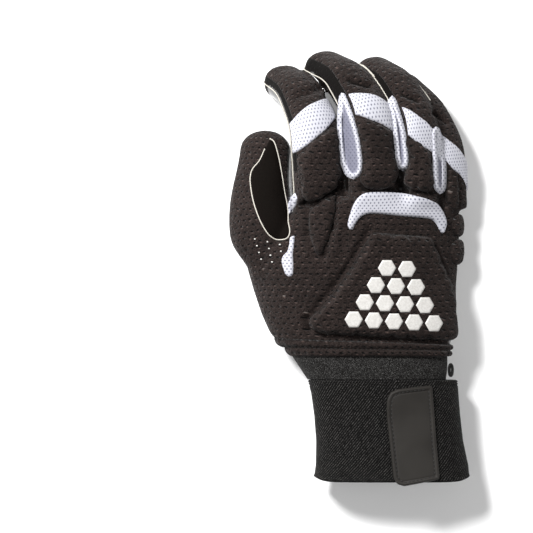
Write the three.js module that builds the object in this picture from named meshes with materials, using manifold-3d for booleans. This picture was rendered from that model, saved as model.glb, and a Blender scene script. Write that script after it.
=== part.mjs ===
// A padded football glove for the right hand, lying palm down with its fingers curled.
// Millimetres, +X towards the little finger, +Y towards the fingertips, +Z up from the surface.
// Every cloth and leather piece is a thin wall between two offsets of one smooth outer form:
// the hand with the thumb, four finger tubes, the wrist band and the cuff.
import * as THREE from 'three';
import { mergeVertices } from 'three/addons/utils/BufferGeometryUtils.js';
import Module from 'manifold-3d';

const wasm = await Module();
wasm.setup();

// Driving sizes
const handLength = 96;        // wrist band to the knuckle line
const knuckleSpan = 103;      // across the four knuckles
const knuckleHeight = 51;     // top of the middle knuckle above the surface
const fingerLength = 104;     // middle finger, knuckle line to the start of its round end
const fingerWidth = 30;       // middle finger at its base
const thumbLength = 69;       // thumb, web to the start of its round end
const thumbWidth = 34;
const bandLength = 15;        // knitted wrist band
const cuffLength = 63;
const cuffWidth = 92;
const cuffHeight = 41;
const wall = 1.4;             // cloth and leather walls
const cuffWall = 2.2;         // thick woven elastic
const padHeight = 3.6;        // padded pieces above the cloth
const trimHeight = 1.3;       // flat pieces sewn on the cloth
const gap = 0.3;              // between neighbouring pieces
const lift = 0.6;             // between the cloth and a piece sewn on it
const heelPadHeight = 3.2;    // padding under the heel of the palm
const strapLength = 60;
const strapWidth = 29;
const strapThickness = 2.4;
const labelThickness = 0.8;
const loopThickness = 1.4;

// Worked out from the driving sizes
const handRest = heelPadHeight + lift;            // the palm's lowest level
const cuffRest = labelThickness + lift + gap;     // the cuff's lowest level
const tipRest = 0;

// How finely the form is cut into facets
const aroundHand = 24;
const aroundFinger = 16;
const aroundCuff = 24;
const alongFinger = 7;       // millimetres between the rings of a finger

const colours = {
  fabric: { color: 0x332c2a, roughness: 0.9, metalness: 0 },
  gripLeather: { color: 0x0c0a09, roughness: 0.18, metalness: 0 },
  heelLeather: { color: 0x3a382f, roughness: 0.55, metalness: 0 },
  mesh: { color: 0xe6e6ec, roughness: 0.8, metalness: 0 },
  knit: { color: 0x3a3735, roughness: 0.95, metalness: 0 },
  elastic: { color: 0x2e2c2b, roughness: 0.85, metalness: 0 },
  strap: { color: 0x3b3936, roughness: 0.6, metalness: 0 },
  label: { color: 0x141212, roughness: 0.7, metalness: 0 },
};

const glove = new THREE.Group();

function addPiece(name, geometry, finish) {
  const mesh = new THREE.Mesh(geometry, new THREE.MeshStandardMaterial(colours[finish]));
  mesh.name = name;
  glove.add(mesh);
}

// Small helpers
const clamp01 = (x) => Math.min(1, Math.max(0, x));
const smooth = (x) => clamp01(x) ** 2 * (3 - 2 * clamp01(x));
const mix = (a, b, k) => a + (b - a) * k;
const signedPower = (x, exponent) => Math.sign(x) * Math.abs(x) ** exponent;

// Reads one column of a table of rows at a place between two rows.
function readTable(rows, at, column) {
  const next = rows.findIndex((row) => row.at >= at);
  if (next === 0) return rows[0][column];
  if (next < 0) return rows[rows.length - 1][column];
  const before = rows[next - 1];
  const after = rows[next];
  return mix(before[column], after[column], (at - before.at) / (after.at - before.at));
}

function solidFrom(geometry) {
  geometry.deleteAttribute('normal');
  geometry.deleteAttribute('uv');
  const merged = mergeVertices(geometry, 1e-4);
  return new wasm.Manifold(new wasm.Mesh({
    numProp: 3,
    vertProperties: new Float32Array(merged.attributes.position.array),
    triVerts: new Uint32Array(merged.index.array),
  }));
}

// Facets that differ by less than this are merged after a cut.
const facetTolerance = 0.1;

function geometryFrom(solid) {
  const mesh = solid.simplify(facetTolerance).getMesh();
  const geometry = new THREE.BufferGeometry();
  geometry.setAttribute('position', new THREE.BufferAttribute(mesh.vertProperties, 3));
  geometry.setIndex(new THREE.BufferAttribute(mesh.triVerts, 1));
  return geometry;
}

// Joins rings of points into a closed skin: a solid with flat ends, or a ring-shaped solid.
function loft(rings, closeOnItself = false) {
  const count = rings[0].length;
  const points = rings.flat();
  const triangles = [];
  const last = closeOnItself ? rings.length : rings.length - 1;
  for (let i = 0; i < last; i += 1) {
    for (let j = 0; j < count; j += 1) {
      const here = i * count;
      const there = ((i + 1) % rings.length) * count;
      const k = (j + 1) % count;
      triangles.push(here + j, here + k, there + j, there + j, here + k, there + k);
    }
  }
  if (!closeOnItself) {
    for (const [ring, flip] of [[0, false], [rings.length - 1, true]]) {
      const centre = points.length;
      const sum = rings[ring].reduce((total, p) => total.add(p), new THREE.Vector3());
      points.push(sum.divideScalar(count));
      for (let j = 0; j < count; j += 1) {
        const a = ring * count + j;
        const b = ring * count + (j + 1) % count;
        triangles.push(centre, flip ? a : b, flip ? b : a);
      }
    }
  }
  const geometry = new THREE.BufferGeometry();
  geometry.setAttribute('position',
    new THREE.Float32BufferAttribute(points.flatMap((p) => p.toArray()), 3));
  geometry.setIndex(triangles);
  return outward(geometry);
}

// Turns a closed skin the right way round when its faces point inwards.
function outward(geometry) {
  const position = geometry.attributes.position;
  const index = geometry.index.array;
  let volume = 0;
  const [a, b, c] = [new THREE.Vector3(), new THREE.Vector3(), new THREE.Vector3()];
  for (let i = 0; i < index.length; i += 3) {
    a.fromBufferAttribute(position, index[i]);
    b.fromBufferAttribute(position, index[i + 1]);
    c.fromBufferAttribute(position, index[i + 2]);
    volume += a.dot(b.cross(c));
  }
  if (volume < 0) {
    for (let i = 0; i < index.length; i += 3) [index[i], index[i + 1]] = [index[i + 1], index[i]];
  }
  return geometry;
}

// A patch of wall: point(u, v, t) with u and v from 0 to 1 over the patch, t 0 inside, 1 outside.
function patch(point, alongSteps, acrossSteps) {
  const rings = [];
  for (let i = 0; i <= alongSteps; i += 1) {
    const ring = [];
    for (let j = 0; j <= acrossSteps; j += 1) ring.push(point(i / alongSteps, j / acrossSteps, 1));
    for (let j = acrossSteps; j >= 0; j -= 1) ring.push(point(i / alongSteps, j / acrossSteps, 0));
    rings.push(ring);
  }
  const count = rings[0].length;
  const points = rings.flat();
  const triangles = [];
  for (let i = 0; i < alongSteps; i += 1) {
    for (let j = 0; j < count; j += 1) {
      const k = (j + 1) % count;
      const [here, there] = [i * count, (i + 1) * count];
      triangles.push(here + j, here + k, there + j, there + j, here + k, there + k);
    }
  }
  for (const [ring, flip] of [[0, false], [alongSteps, true]]) {
    for (let j = 0; j < acrossSteps; j += 1) {
      const base = ring * count;
      const quad = [base + j, base + j + 1, base + count - 2 - j, base + count - 1 - j];
      const [a, b, c, d] = flip ? quad : quad.slice().reverse();
      triangles.push(a, b, c, a, c, d);
    }
  }
  const geometry = new THREE.BufferGeometry();
  geometry.setAttribute('position',
    new THREE.Float32BufferAttribute(points.flatMap((p) => p.toArray()), 3));
  geometry.setIndex(triangles);
  return outward(geometry);
}

// An upright prism over a closed outline of [across, along] shares of the knuckle span and hand length.
function prism(outline, from, to, { round = true, steps = 28 } = {}) {
  const corners = outline.map(([x, y]) => new THREE.Vector2(x * knuckleSpan, y * handLength));
  let points = corners;
  if (round) {
    const curve = new THREE.CatmullRomCurve3(
      corners.map((p) => new THREE.Vector3(p.x, p.y, 0)), true, 'centripetal');
    points = curve.getPoints(steps).slice(0, steps).map((p) => new THREE.Vector2(p.x, p.y));
  }
  const geometry = new THREE.ExtrudeGeometry(new THREE.Shape(points),
    { depth: to - from, bevelEnabled: false });
  geometry.translate(0, 0, from);
  return solidFrom(geometry);
}

// Hand. Each row is a cross-section: places along the hand from the wrist (0) to the knuckle line (1)
// as a share of its length, left and right edges as shares of half the knuckle span from the middle
// of the form, height of the middle and half thickness as shares of the knuckle height, how far the
// thumb side and the far side drop below the middle, as shares of that height, and the lean in degrees.
const handRows = [
  { at: -0.02, left: -0.62, right: 1.2, middle: 0.46, half: 0.40, thumbDrop: 0.0, farDrop: 0.0, lean: 0 },
  { at: 0.0, left: -0.66, right: 1.22, middle: 0.46, half: 0.41, thumbDrop: 0.0, farDrop: 0.0, lean: 0 },
  { at: 0.13, left: -0.93, right: 1.25, middle: 0.48, half: 0.42, thumbDrop: 0.08, farDrop: 0.05, lean: 0 },
  { at: 0.26, left: -1.04, right: 1.31, middle: 0.51, half: 0.42, thumbDrop: 0.20, farDrop: 0.10, lean: -2 },
  { at: 0.42, left: -1.14, right: 1.3, middle: 0.55, half: 0.40, thumbDrop: 0.32, farDrop: 0.14, lean: -3 },
  { at: 0.57, left: -1.22, right: 1.32, middle: 0.60, half: 0.37, thumbDrop: 0.42, farDrop: 0.17, lean: -4 },
  { at: 0.68, left: -1.18, right: 1.33, middle: 0.63, half: 0.35, thumbDrop: 0.44, farDrop: 0.18, lean: -5 },
  { at: 0.77, left: -0.98, right: 1.34, middle: 0.65, half: 0.33, thumbDrop: 0.36, farDrop: 0.18, lean: -6 },
  { at: 0.84, left: -0.74, right: 1.34, middle: 0.66, half: 0.315, thumbDrop: 0.22, farDrop: 0.17, lean: -8 },
  { at: 0.91, left: -0.665, right: 1.335, middle: 0.67, half: 0.30, thumbDrop: 0.18, farDrop: 0.17, lean: -9 },
  { at: 1.0, left: -0.65, right: 1.33, middle: 0.67, half: 0.285, thumbDrop: 0.16, farDrop: 0.16, lean: -10 },
];
const wristY = -0.5625 * handLength;   // the wrist seam, measured from the middle of the form

const handY = (at) => wristY + at * handLength;

function handSection(at) {
  const half = knuckleSpan / 2;
  const left = readTable(handRows, at, 'left') * half;
  const right = readTable(handRows, at, 'right') * half;
  return {
    x: (left + right) / 2,
    z: readTable(handRows, at, 'middle') * knuckleHeight,
    halfWidth: (right - left) / 2,
    halfHeight: readTable(handRows, at, 'half') * knuckleHeight,
    thumbDrop: readTable(handRows, at, 'thumbDrop') * knuckleHeight,
    farDrop: readTable(handRows, at, 'farDrop') * knuckleHeight,
    lean: THREE.MathUtils.degToRad(readTable(handRows, at, 'lean')),
  };
}

// A point of the hand's middle surface: an arch that drops towards both edges and leans to one side.
function middleHeight(section, x) {
  const across = x - section.x;
  const share = across / section.halfWidth;
  const drop = share < 0 ? section.thumbDrop : section.farDrop;
  return section.z - drop * share * share + Math.tan(section.lean) * across;
}

function handPoint(at, angle, offset, rest) {
  const section = handSection(at);
  const squareness = 2 / 2.6;
  const w = (section.halfWidth + offset) * signedPower(Math.cos(angle), squareness);
  const h = (section.halfHeight + offset) * signedPower(Math.sin(angle), squareness);
  const x = section.x + w;
  const z = middleHeight(section, x) + h;
  return new THREE.Vector3(x, handY(at), Math.max(z, rest - offset));
}

function handRing(at, offset, rest = handRest) {
  const ring = [];
  for (let j = 0; j < aroundHand; j += 1) {
    ring.push(handPoint(at, (j / aroundHand) * 2 * Math.PI, offset, rest));
  }
  return ring;
}

// A tube along a bent line. The line starts at base, heads along yaw and rise, rolls its back
// towards the little finger and bends at its two joints.
const knuckleBend = 22;   // length of line over which the middle joint bends
const endBend = 18;       // length of line over which the last joint bends
const sweepLead = 15;     // the sideways sweep starts this far before the middle joint
const sweepRun = 20;      // and takes this much longer than the second stretch

function bentTube(spec) {
  const rad = THREE.MathUtils.degToRad;
  const start = new THREE.Vector3(
    -Math.sin(rad(spec.yaw)) * Math.cos(rad(spec.rise)),
    Math.cos(rad(spec.yaw)) * Math.cos(rad(spec.rise)),
    Math.sin(rad(spec.rise)));
  const level = start.clone().cross(new THREE.Vector3(0, 0, 1)).normalize();
  const upright = level.clone().cross(start);
  const back = upright.clone().multiplyScalar(Math.cos(rad(spec.roll)))
    .addScaledVector(level, Math.sin(rad(spec.roll)));
  const side = start.clone().cross(back);
  const [first, second, third] = spec.lengths;
  const total = first + second + third;
  const steps = 60;
  const frames = [];
  const centre = spec.base.clone();
  for (let i = 0; i <= steps; i += 1) {
    const s = (i / steps) * total;
    const bend = rad(spec.bends[0]) * smooth(0.5 + (s - first) / knuckleBend)
      + rad(spec.bends[1]) * smooth(0.5 + (s - first - second) / endBend);
    const sweep = rad(spec.sweep) * smooth((s - first + sweepLead) / (second + sweepRun));
    const ahead = start.clone().multiplyScalar(Math.cos(bend)).addScaledVector(back, -Math.sin(bend));
    const top = back.clone().multiplyScalar(Math.cos(bend)).addScaledVector(start, Math.sin(bend));
    ahead.multiplyScalar(Math.cos(sweep)).addScaledVector(side, -Math.sin(sweep)).normalize();
    const across = ahead.clone().cross(top);
    if (i > 0) centre.addScaledVector(ahead, total / steps);
    frames.push({ centre: centre.clone(), ahead, top, across });
  }
  return { ...spec, total, frames, steps };
}

function tubeFrame(tube, s) {
  const place = clamp01(s / tube.total) * tube.steps;
  const i = Math.min(Math.floor(place), tube.steps - 1);
  const k = place - i;
  const [a, b] = [tube.frames[i], tube.frames[i + 1]];
  return {
    centre: a.centre.clone().lerp(b.centre, k),
    ahead: a.ahead.clone().lerp(b.ahead, k).normalize(),
    top: a.top.clone().lerp(b.top, k).normalize(),
    across: a.across.clone().lerp(b.across, k).normalize(),
  };
}

// A point of a tube. s runs along the line and on round the end: the last stretch, of one tip
// length, is a quarter turn to the pole. The angle is 0 on the little-finger side, 90 on the back.
function tubePoint(tube, s, angle, offset) {
  const frame = tubeFrame(tube, s);
  const k = smooth((s / tube.total - 0.35) / 0.65);
  const turn = clamp01((s - tube.total) / tube.tip) * (Math.PI / 2);
  const squareness = 2 / mix(tube.square, 2.3, clamp01(s / (0.4 * tube.total)));
  const girth = mix(tube.rootShare, 1, smooth(s / (0.35 * tube.total)));
  const halfWidth = (girth * mix(tube.halfWidth, tube.tipHalfWidth, k) + offset) * Math.cos(turn);
  const halfHeight = (girth * mix(tube.halfHeight, tube.tipHalfHeight, k) + offset) * Math.cos(turn);
  const point = frame.centre.clone()
    .addScaledVector(frame.ahead, (tube.tip + offset) * Math.sin(turn))
    .addScaledVector(frame.across, halfWidth * signedPower(Math.cos(angle), squareness))
    .addScaledVector(frame.top, halfHeight * signedPower(Math.sin(angle), squareness));
  point.z = Math.max(point.z, tube.rest - offset);
  return point;
}

// Fingers. Bases are shares of the finger width (across), hand length (ahead) and knuckle height (up),
// lengths are shares of the finger length, widths are shares of the finger width, angles are degrees.
const fingerRows = [
  { name: 'index', across: -0.583, ahead: 0.4166, up: 0.71, yaw: 4, rise: 2, roll: 16,
    first: 0.44, second: 0.29, third: 0.17, bendOne: 38, bendTwo: 32, sweep: 16,
    width: 0.965, height: 0.86, tipWidth: 0.76, tipHeight: 0.68 },
  { name: 'middle', across: 0.483, ahead: 0.4322, up: 0.75, yaw: 1, rise: 3, roll: 19,
    first: 0.485, second: 0.31, third: 0.20, bendOne: 39, bendTwo: 34, sweep: 18,
    width: 0.985, height: 0.88, tipWidth: 0.76, tipHeight: 0.68 },
  { name: 'ring', across: 1.47, ahead: 0.4166, up: 0.65, yaw: 0, rise: 3, roll: 24,
    first: 0.47, second: 0.30, third: 0.18, bendOne: 37, bendTwo: 31, sweep: 16,
    width: 0.84, height: 0.78, tipWidth: 0.74, tipHeight: 0.66 },
  { name: 'little', across: 2.17, ahead: 0.375, up: 0.39, yaw: -5, rise: 4, roll: 34,
    first: 0.36, second: 0.28, third: 0.19, bendOne: 27, bendTwo: 24, sweep: 15,
    width: 0.72, height: 0.68, tipWidth: 0.62, tipHeight: 0.58 },
];

const fingers = fingerRows.map((row) => bentTube({
  name: row.name,
  base: new THREE.Vector3(row.across * fingerWidth, row.ahead * handLength, row.up * knuckleHeight),
  yaw: row.yaw,
  rise: row.rise,
  roll: row.roll,
  lengths: [row.first * fingerLength, row.second * fingerLength, row.third * fingerLength],
  bends: [row.bendOne, row.bendTwo],
  sweep: row.sweep,
  halfWidth: (row.width * fingerWidth) / 2,
  halfHeight: (row.height * fingerWidth) / 2,
  tipHalfWidth: (row.tipWidth * fingerWidth) / 2,
  tipHalfHeight: (row.tipHeight * fingerWidth) / 2,
  tip: (row.tipHeight * fingerWidth) / 2,
  rootShare: 1,
  square: 3.4,
  rest: tipRest,
}));

const thumb = bentTube({
  name: 'thumb',
  base: new THREE.Vector3(-0.46 * knuckleSpan, -0.04 * handLength, 0.45 * knuckleHeight),
  yaw: 12,
  rise: -6,
  roll: -22,
  lengths: [0.42 * thumbLength, 0.37 * thumbLength, 0.34 * thumbLength],
  bends: [3, 5],
  sweep: -20,
  halfWidth: 0.56 * thumbWidth,
  halfHeight: 0.46 * thumbWidth,
  tipHalfWidth: 0.40 * thumbWidth,
  tipHalfHeight: 0.34 * thumbWidth,
  tip: 0.36 * thumbWidth,
  rootShare: 0.6,
  square: 2.4,
  rest: tipRest + 1.5,
});

// The hand with its thumb at one offset from the outer skin, as a solid.
const formCache = new Map();
function handForm(offset) {
  if (formCache.has(offset)) return formCache.get(offset);
  const rows = handRows.map((row) => row.at);
  const stations = rows.flatMap((at, i) => (i > 0 ? [(rows[i - 1] + at) / 2, at] : [at]));
  const hand = solidFrom(loft(stations.map((at) => handRing(at, offset))));
  const rings = [];
  const thumbStations = 8;
  for (let i = 0; i <= thumbStations; i += 1) {
    rings.push(tubeRing(thumb, (i / thumbStations) * thumb.total, offset));
  }
  for (const share of [0.4, 0.7, 0.9]) {
    rings.push(tubeRing(thumb, thumb.total + share * thumb.tip, offset));
  }
  const solid = hand.add(solidFrom(loft(rings)));
  formCache.set(offset, solid);
  return solid;
}

function tubeRing(tube, s, offset) {
  const ring = [];
  for (let j = 0; j < aroundFinger; j += 1) {
    ring.push(tubePoint(tube, s, (j / aroundFinger) * 2 * Math.PI, offset));
  }
  return ring;
}

const skin = (low, high) => handForm(high).subtract(handForm(low));

// Height of the thumb's centre line at a place along Y.
function thumbHeight(y) {
  const frame = thumb.frames.find((f) => f.centre.y >= y) ?? thumb.frames[thumb.steps];
  return frame.centre.z;
}

// Cutting blocks reach from floor to ceiling and past both sides of the glove.
const floor = -0.2 * handLength;
const ceiling = 1.25 * handLength;
const leftSide = -0.95 * knuckleSpan;
const rightSide = knuckleSpan;

// Everything above, or below, the middle surface of the hand and thumb, moved by shift. The surface
// is level past the edges of the hand, and follows the thumb's centre line beside the fingers.
function halfSpace(above, shift) {
  const columns = 22;
  const edge = 1.15;
  const rings = [];
  for (const at of [-0.2, 0.13, 0.26, 0.42, 0.57, 0.68, 0.84, 1.0, 1.2, 1.4, 1.7]) {
    const section = handSection(Math.min(at, 1));
    const ring = [];
    for (let i = 0; i <= columns; i += 1) {
      const x = mix(leftSide, rightSide, i / columns);
      const share = THREE.MathUtils.clamp((x - section.x) / section.halfWidth, -edge, edge);
      const bounded = section.x + share * section.halfWidth;
      const onThumb = smooth((at - 0.5) / 0.25) * smooth((-0.30 * knuckleSpan - x) / (0.1 * knuckleSpan));
      const height = mix(middleHeight(section, bounded), thumbHeight(handY(at)), onThumb);
      ring.push(new THREE.Vector3(x, handY(at), height + shift));
    }
    const far = above ? ceiling : 5 * floor;
    ring.push(new THREE.Vector3(rightSide, handY(at), far));
    ring.push(new THREE.Vector3(leftSide, handY(at), far));
    rings.push(ring);
  }
  return solidFrom(loft(rings));
}

const upper = halfSpace(true, gap / 2);
const lower = halfSpace(false, -gap / 2);

// The thumb is cut from the hand along a slanting seam at its web.
const sharp = { round: false };
const thumbRegion = [[-0.95, -0.02], [-0.62, 0.0], [-0.33, 0.20], [-0.33, 1.2], [-0.95, 1.2]];
const thumbCut = prism(thumbRegion, floor, ceiling, sharp);
const handCut = thumbCut.translate([gap, -gap, 0]);

// The hand is open at the wrist and along the knuckle line, where the fingers start.
const knuckleLine = [[0.9, 0.364], [0.53, 0.364], [0.49, 0.38], [0.30, 0.408], [0.28, 0.422],
  [0.0, 0.422], [-0.02, 0.417], [-0.33, 0.400]];
const openEnds = prism([[-0.9, -0.5585], [0.9, -0.5585], ...knuckleLine, [-0.33, 1.2], [-0.9, 1.2]],
  floor, ceiling, sharp);

const cloth = skin(-wall, 0).intersect(openEnds);
const largest = (solid) => solid.decompose().sort((a, b) => b.volume() - a.volume())[0];

addPiece('back_panel', geometryFrom(largest(cloth.intersect(upper).subtract(handCut))), 'fabric');
addPiece('palm_panel', geometryFrom(largest(cloth.intersect(lower).subtract(handCut))), 'gripLeather');
addPiece('thumb_back', geometryFrom(largest(cloth.intersect(upper).intersect(thumbCut))), 'fabric');
addPiece('thumb_front', geometryFrom(largest(cloth.intersect(lower).intersect(thumbCut))), 'gripLeather');

// Pieces sewn on the hand: outlines in shares of the knuckle span and the hand length.
const outlines = {
  backPlate: [[0.138, 0.225], [0.313, 0.216], [0.485, 0.197], [0.533, 0.1], [0.60, -0.107],
    [0.62, -0.21], [0.62, -0.40], [0.59, -0.445], [0.403, -0.455], [0.193, -0.449],
    [-0.15, -0.423], [-0.215, -0.39], [-0.211, -0.33], [-0.116, -0.197], [0.0, -0.027], [0.084, 0.135]],
  knuckleArch: [[0.005, 0.245], [0.0, 0.29], [0.018, 0.355], [0.06, 0.39], [0.132, 0.40],
    [0.295, 0.40], [0.409, 0.385], [0.49, 0.37], [0.548, 0.345], [0.586, 0.275], [0.566, 0.21],
    [0.529, 0.26], [0.49, 0.28], [0.44, 0.295], [0.317, 0.31], [0.157, 0.315], [0.093, 0.305],
    [0.04, 0.262]],
  indexLeaf: [[-0.11, 0.395], [-0.16, 0.39], [-0.215, 0.35], [-0.235, 0.236], [-0.202, 0.1],
    [-0.172, 0.07], [-0.145, 0.113], [-0.10, 0.268], [-0.075, 0.35]],
  thumbPatch: [[-0.47, 0.80], [-0.531, 0.69], [-0.572, 0.636], [-0.586, 0.565], [-0.566, 0.417],
    [-0.53, 0.307], [-0.488, 0.245], [-0.44, 0.215], [-0.40, 0.23], [-0.385, 0.287],
    [-0.392, 0.481], [-0.40, 0.604], [-0.423, 0.714]],
  meshLeaf: [[-0.365, 0.40], [-0.352, 0.345], [-0.325, 0.35], [-0.32, 0.42], [-0.33, 0.47],
    [-0.35, 0.455]],
  meshStrip: [[-0.337, 0.14], [-0.316, 0.12], [-0.325, 0.03], [-0.345, -0.05], [-0.379, -0.042],
    [-0.40, 0.036], [-0.38, 0.07]],
  wristWelt: [[-0.27, -0.49], [0.132, -0.503], [0.585, -0.503], [0.585, -0.545], [0.132, -0.547],
    [-0.265, -0.535]],
  heelPad: [[0.56, 0.0], [0.415, -0.029], [0.163, -0.055], [0.0, -0.023], [-0.12, 0.03],
    [-0.125, -0.107], [-0.10, -0.26], [-0.10, -0.40], [0.03, -0.49], [0.263, -0.535],
    [0.45, -0.54], [0.54, -0.525], [0.58, -0.44], [0.58, -0.20]],
  indexPad: [[-0.289, 0.425], [-0.301, 0.647], [-0.289, 0.75], [-0.169, 0.83], [-0.085, 0.87],
    [-0.075, 0.76], [-0.072, 0.617], [-0.085, 0.52], [-0.169, 0.44]],
  middlePad: [[0.075, 0.52], [0.10, 0.694], [0.085, 0.88], [0.163, 0.9], [0.235, 0.862], [0.259, 0.76],
    [0.27, 0.617], [0.285, 0.52], [0.18, 0.46]],
  ringPad: [[0.373, 0.50], [0.378, 0.727], [0.37, 0.82], [0.433, 0.785], [0.49, 0.714],
    [0.488, 0.598], [0.495, 0.50], [0.433, 0.45]],
  littlePad: [[0.596, 0.42], [0.596, 0.597], [0.60, 0.67], [0.64, 0.617], [0.675, 0.54], [0.68, 0.42],
    [0.65, 0.39]],
  indexMiddleGusset: [[-0.045, 1.11], [-0.065, 1.06], [-0.062, 0.87], [-0.055, 0.714], [-0.03, 0.61],
    [0.01, 0.58], [0.055, 0.60], [0.082, 0.67], [0.078, 0.765], [0.055, 0.888], [0.0, 1.06]],
  middleRingGusset: [[0.262, 1.10], [0.24, 1.04], [0.262, 0.95], [0.278, 0.785], [0.285, 0.694],
    [0.315, 0.65], [0.345, 0.69], [0.35, 0.80], [0.335, 0.92], [0.295, 1.06]],
  ringLittleGusset: [[0.51, 0.90], [0.50, 0.85], [0.51, 0.70], [0.515, 0.56], [0.55, 0.50],
    [0.578, 0.54], [0.582, 0.69], [0.55, 0.875]],
};

const cut = (solid, outline) => solid.intersect(prism(outline, floor, ceiling));
const sewnOn = (outline, height, half) =>
  geometryFrom(largest(cut(skin(lift, lift + height).intersect(half), outline)));

addPiece('back_plate', sewnOn(outlines.backPlate, padHeight, upper), 'fabric');
addPiece('knuckle_arch', sewnOn(outlines.knuckleArch, trimHeight, upper), 'mesh');
addPiece('index_leaf_pad', sewnOn(outlines.indexLeaf, padHeight, upper), 'fabric');
addPiece('thumb_patch', sewnOn(outlines.thumbPatch, trimHeight, upper), 'fabric');
addPiece('thumb_mesh_leaf', sewnOn(outlines.meshLeaf, trimHeight, upper), 'mesh');
addPiece('thumb_mesh_strip', sewnOn(outlines.meshStrip, trimHeight, upper), 'mesh');
addPiece('wrist_welt', sewnOn(outlines.wristWelt, trimHeight, upper), 'fabric');
addPiece('heel_pad', sewnOn(outlines.heelPad, heelPadHeight, lower), 'heelLeather');

// Padded bulges on the little-finger side, as shares of the hand length (at) and degrees.
const sidePads = [
  { name: 'side_pad_upper', from: 0.765, to: 0.885, under: -26, over: 24 },
  { name: 'side_pad_lower', from: 0.585, to: 0.74, under: -26, over: 24 },
];
const sidePadHeight = 0.8 * padHeight;
for (const { name, from, to, under, over } of sidePads) {
  addPiece(name, patch((u, v, t) => handPoint(mix(from, to, u),
    THREE.MathUtils.degToRad(mix(under, over, v)), lift + t * sidePadHeight, handRest), 3, 6),
  'fabric');
}

// Finger pieces: back and front halves, the mesh band, the cap and the knuckle pad.
function tubeSolid(tube, offset, from = 0) {
  const rings = [];
  const count = Math.max(2, Math.round((tube.total - from) / alongFinger));
  for (let i = 0; i <= count; i += 1) rings.push(tubeRing(tube, mix(from, tube.total, i / count), offset));
  for (const share of [0.4, 0.7, 0.9]) {
    rings.push(tubeRing(tube, tube.total + share * tube.tip, offset));
  }
  return solidFrom(loft(rings));
}

const seam = 6;   // degrees from the flank to the edge of a finger's back or front
function tubePatch(tube, [from, to], [fromAngle, toAngle], [inside, outside], steps = 8) {
  return patch((u, v, t) => tubePoint(tube, mix(from, to, u),
    THREE.MathUtils.degToRad(mix(fromAngle, toAngle, v)), mix(inside, outside, t)), steps, 6);
}

const bands = {
  index: { from: 0.40, to: 0.57 },
  middle: { from: 0.49, to: 0.64 },
  ring: { from: 0.41, to: 0.56 },
  little: { from: 0.27, to: 0.42 },
};
const fingerPads = {
  index: outlines.indexPad,
  middle: outlines.middlePad,
  ring: outlines.ringPad,
  little: outlines.littlePad,
};

for (const finger of fingers) {
  const { name } = finger;
  const band = bands[name];
  const bandFrom = band.from * fingerLength;
  const bandTo = band.to * fingerLength;
  const capFrom = finger.total - 0.25 * finger.tip;
  const backAngles = [seam, 180 - seam];
  const frontAngles = [180 + seam, 360 - seam];
  const faces = [-wall, 0];
  addPiece(`${name}_back`, tubePatch(finger, [0, bandFrom - gap], backAngles, faces, 6), 'fabric');
  addPiece(`${name}_band`, tubePatch(finger, [bandFrom, bandTo], backAngles, faces, 3), 'mesh');
  addPiece(`${name}_front`, tubePatch(finger, [0, capFrom - 3 * gap], frontAngles, faces, 11), 'gripLeather');
  const capShell = tubeSolid(finger, 0, bandTo + gap).subtract(tubeSolid(finger, -wall, bandTo - wall));
  const frontBlock = solidFrom(tubePatch(finger, [bandTo - 2 * gap, capFrom], [180 - seam, 360 + seam],
    [-0.8 * finger.tipHalfHeight, 2 * wall], 5));
  addPiece(`${name}_tip`, geometryFrom(largest(capShell.subtract(frontBlock))), 'fabric');
  const padSkin = tubeSolid(finger, lift + padHeight).subtract(tubeSolid(finger, lift, -2));
  const top = prism(fingerPads[name], finger.base.z, ceiling);
  addPiece(`${name}_pad`, geometryFrom(largest(padSkin.intersect(top))), 'fabric');
}

// White mesh gussets that line the gap between two fingers.
const gussets = [
  { name: 'index_middle_gusset', pair: [0, 1], outline: outlines.indexMiddleGusset },
  { name: 'middle_ring_gusset', pair: [1, 2], outline: outlines.middleRingGusset },
  { name: 'ring_little_gusset', pair: [2, 3], outline: outlines.ringLittleGusset },
];
for (const { name, pair, outline } of gussets) {
  const [one, two] = pair.map((i) => fingers[i]);
  const over = tubeSolid(one, lift + trimHeight).add(tubeSolid(two, lift + trimHeight));
  const under = tubeSolid(one, lift, -2).add(tubeSolid(two, lift, -2));
  const level = Math.min(one.base.z, two.base.z);
  addPiece(name, geometryFrom(largest(over.subtract(under).intersect(prism(outline, level, ceiling)))),
    'mesh');
}

// Wrist band and cuff. Rows: at as a share of the piece's length from its upper edge, left and right
// edges as shares of half the cuff width from the middle of the form, height of the middle and half
// thickness as shares of the cuff height.
const bandRows = [
  { at: 0, left: -0.76, right: 1.335, middle: 0.56, half: 0.50 },
  { at: 0.5, left: -0.64, right: 1.325, middle: 0.555, half: 0.49 },
  { at: 1, left: -0.545, right: 1.315, middle: 0.55, half: 0.48 },
];
const cuffRows = [
  { at: 0, left: -0.545, right: 1.455, middle: 0.555, half: 0.515 },
  { at: 0.12, left: -0.50, right: 1.46, middle: 0.55, half: 0.51 },
  { at: 0.35, left: -0.455, right: 1.475, middle: 0.545, half: 0.50 },
  { at: 0.6, left: -0.43, right: 1.51, middle: 0.545, half: 0.50 },
  { at: 0.85, left: -0.435, right: 1.575, middle: 0.55, half: 0.505 },
  { at: 1, left: -0.46, right: 1.59, middle: 0.555, half: 0.51 },
];
const bandTop = wristY - gap;
const cuffTop = bandTop - bandLength - gap;
const strapOverhang = 0.06;   // the strap tab runs past the cuff's edge, as a share of its length

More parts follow.
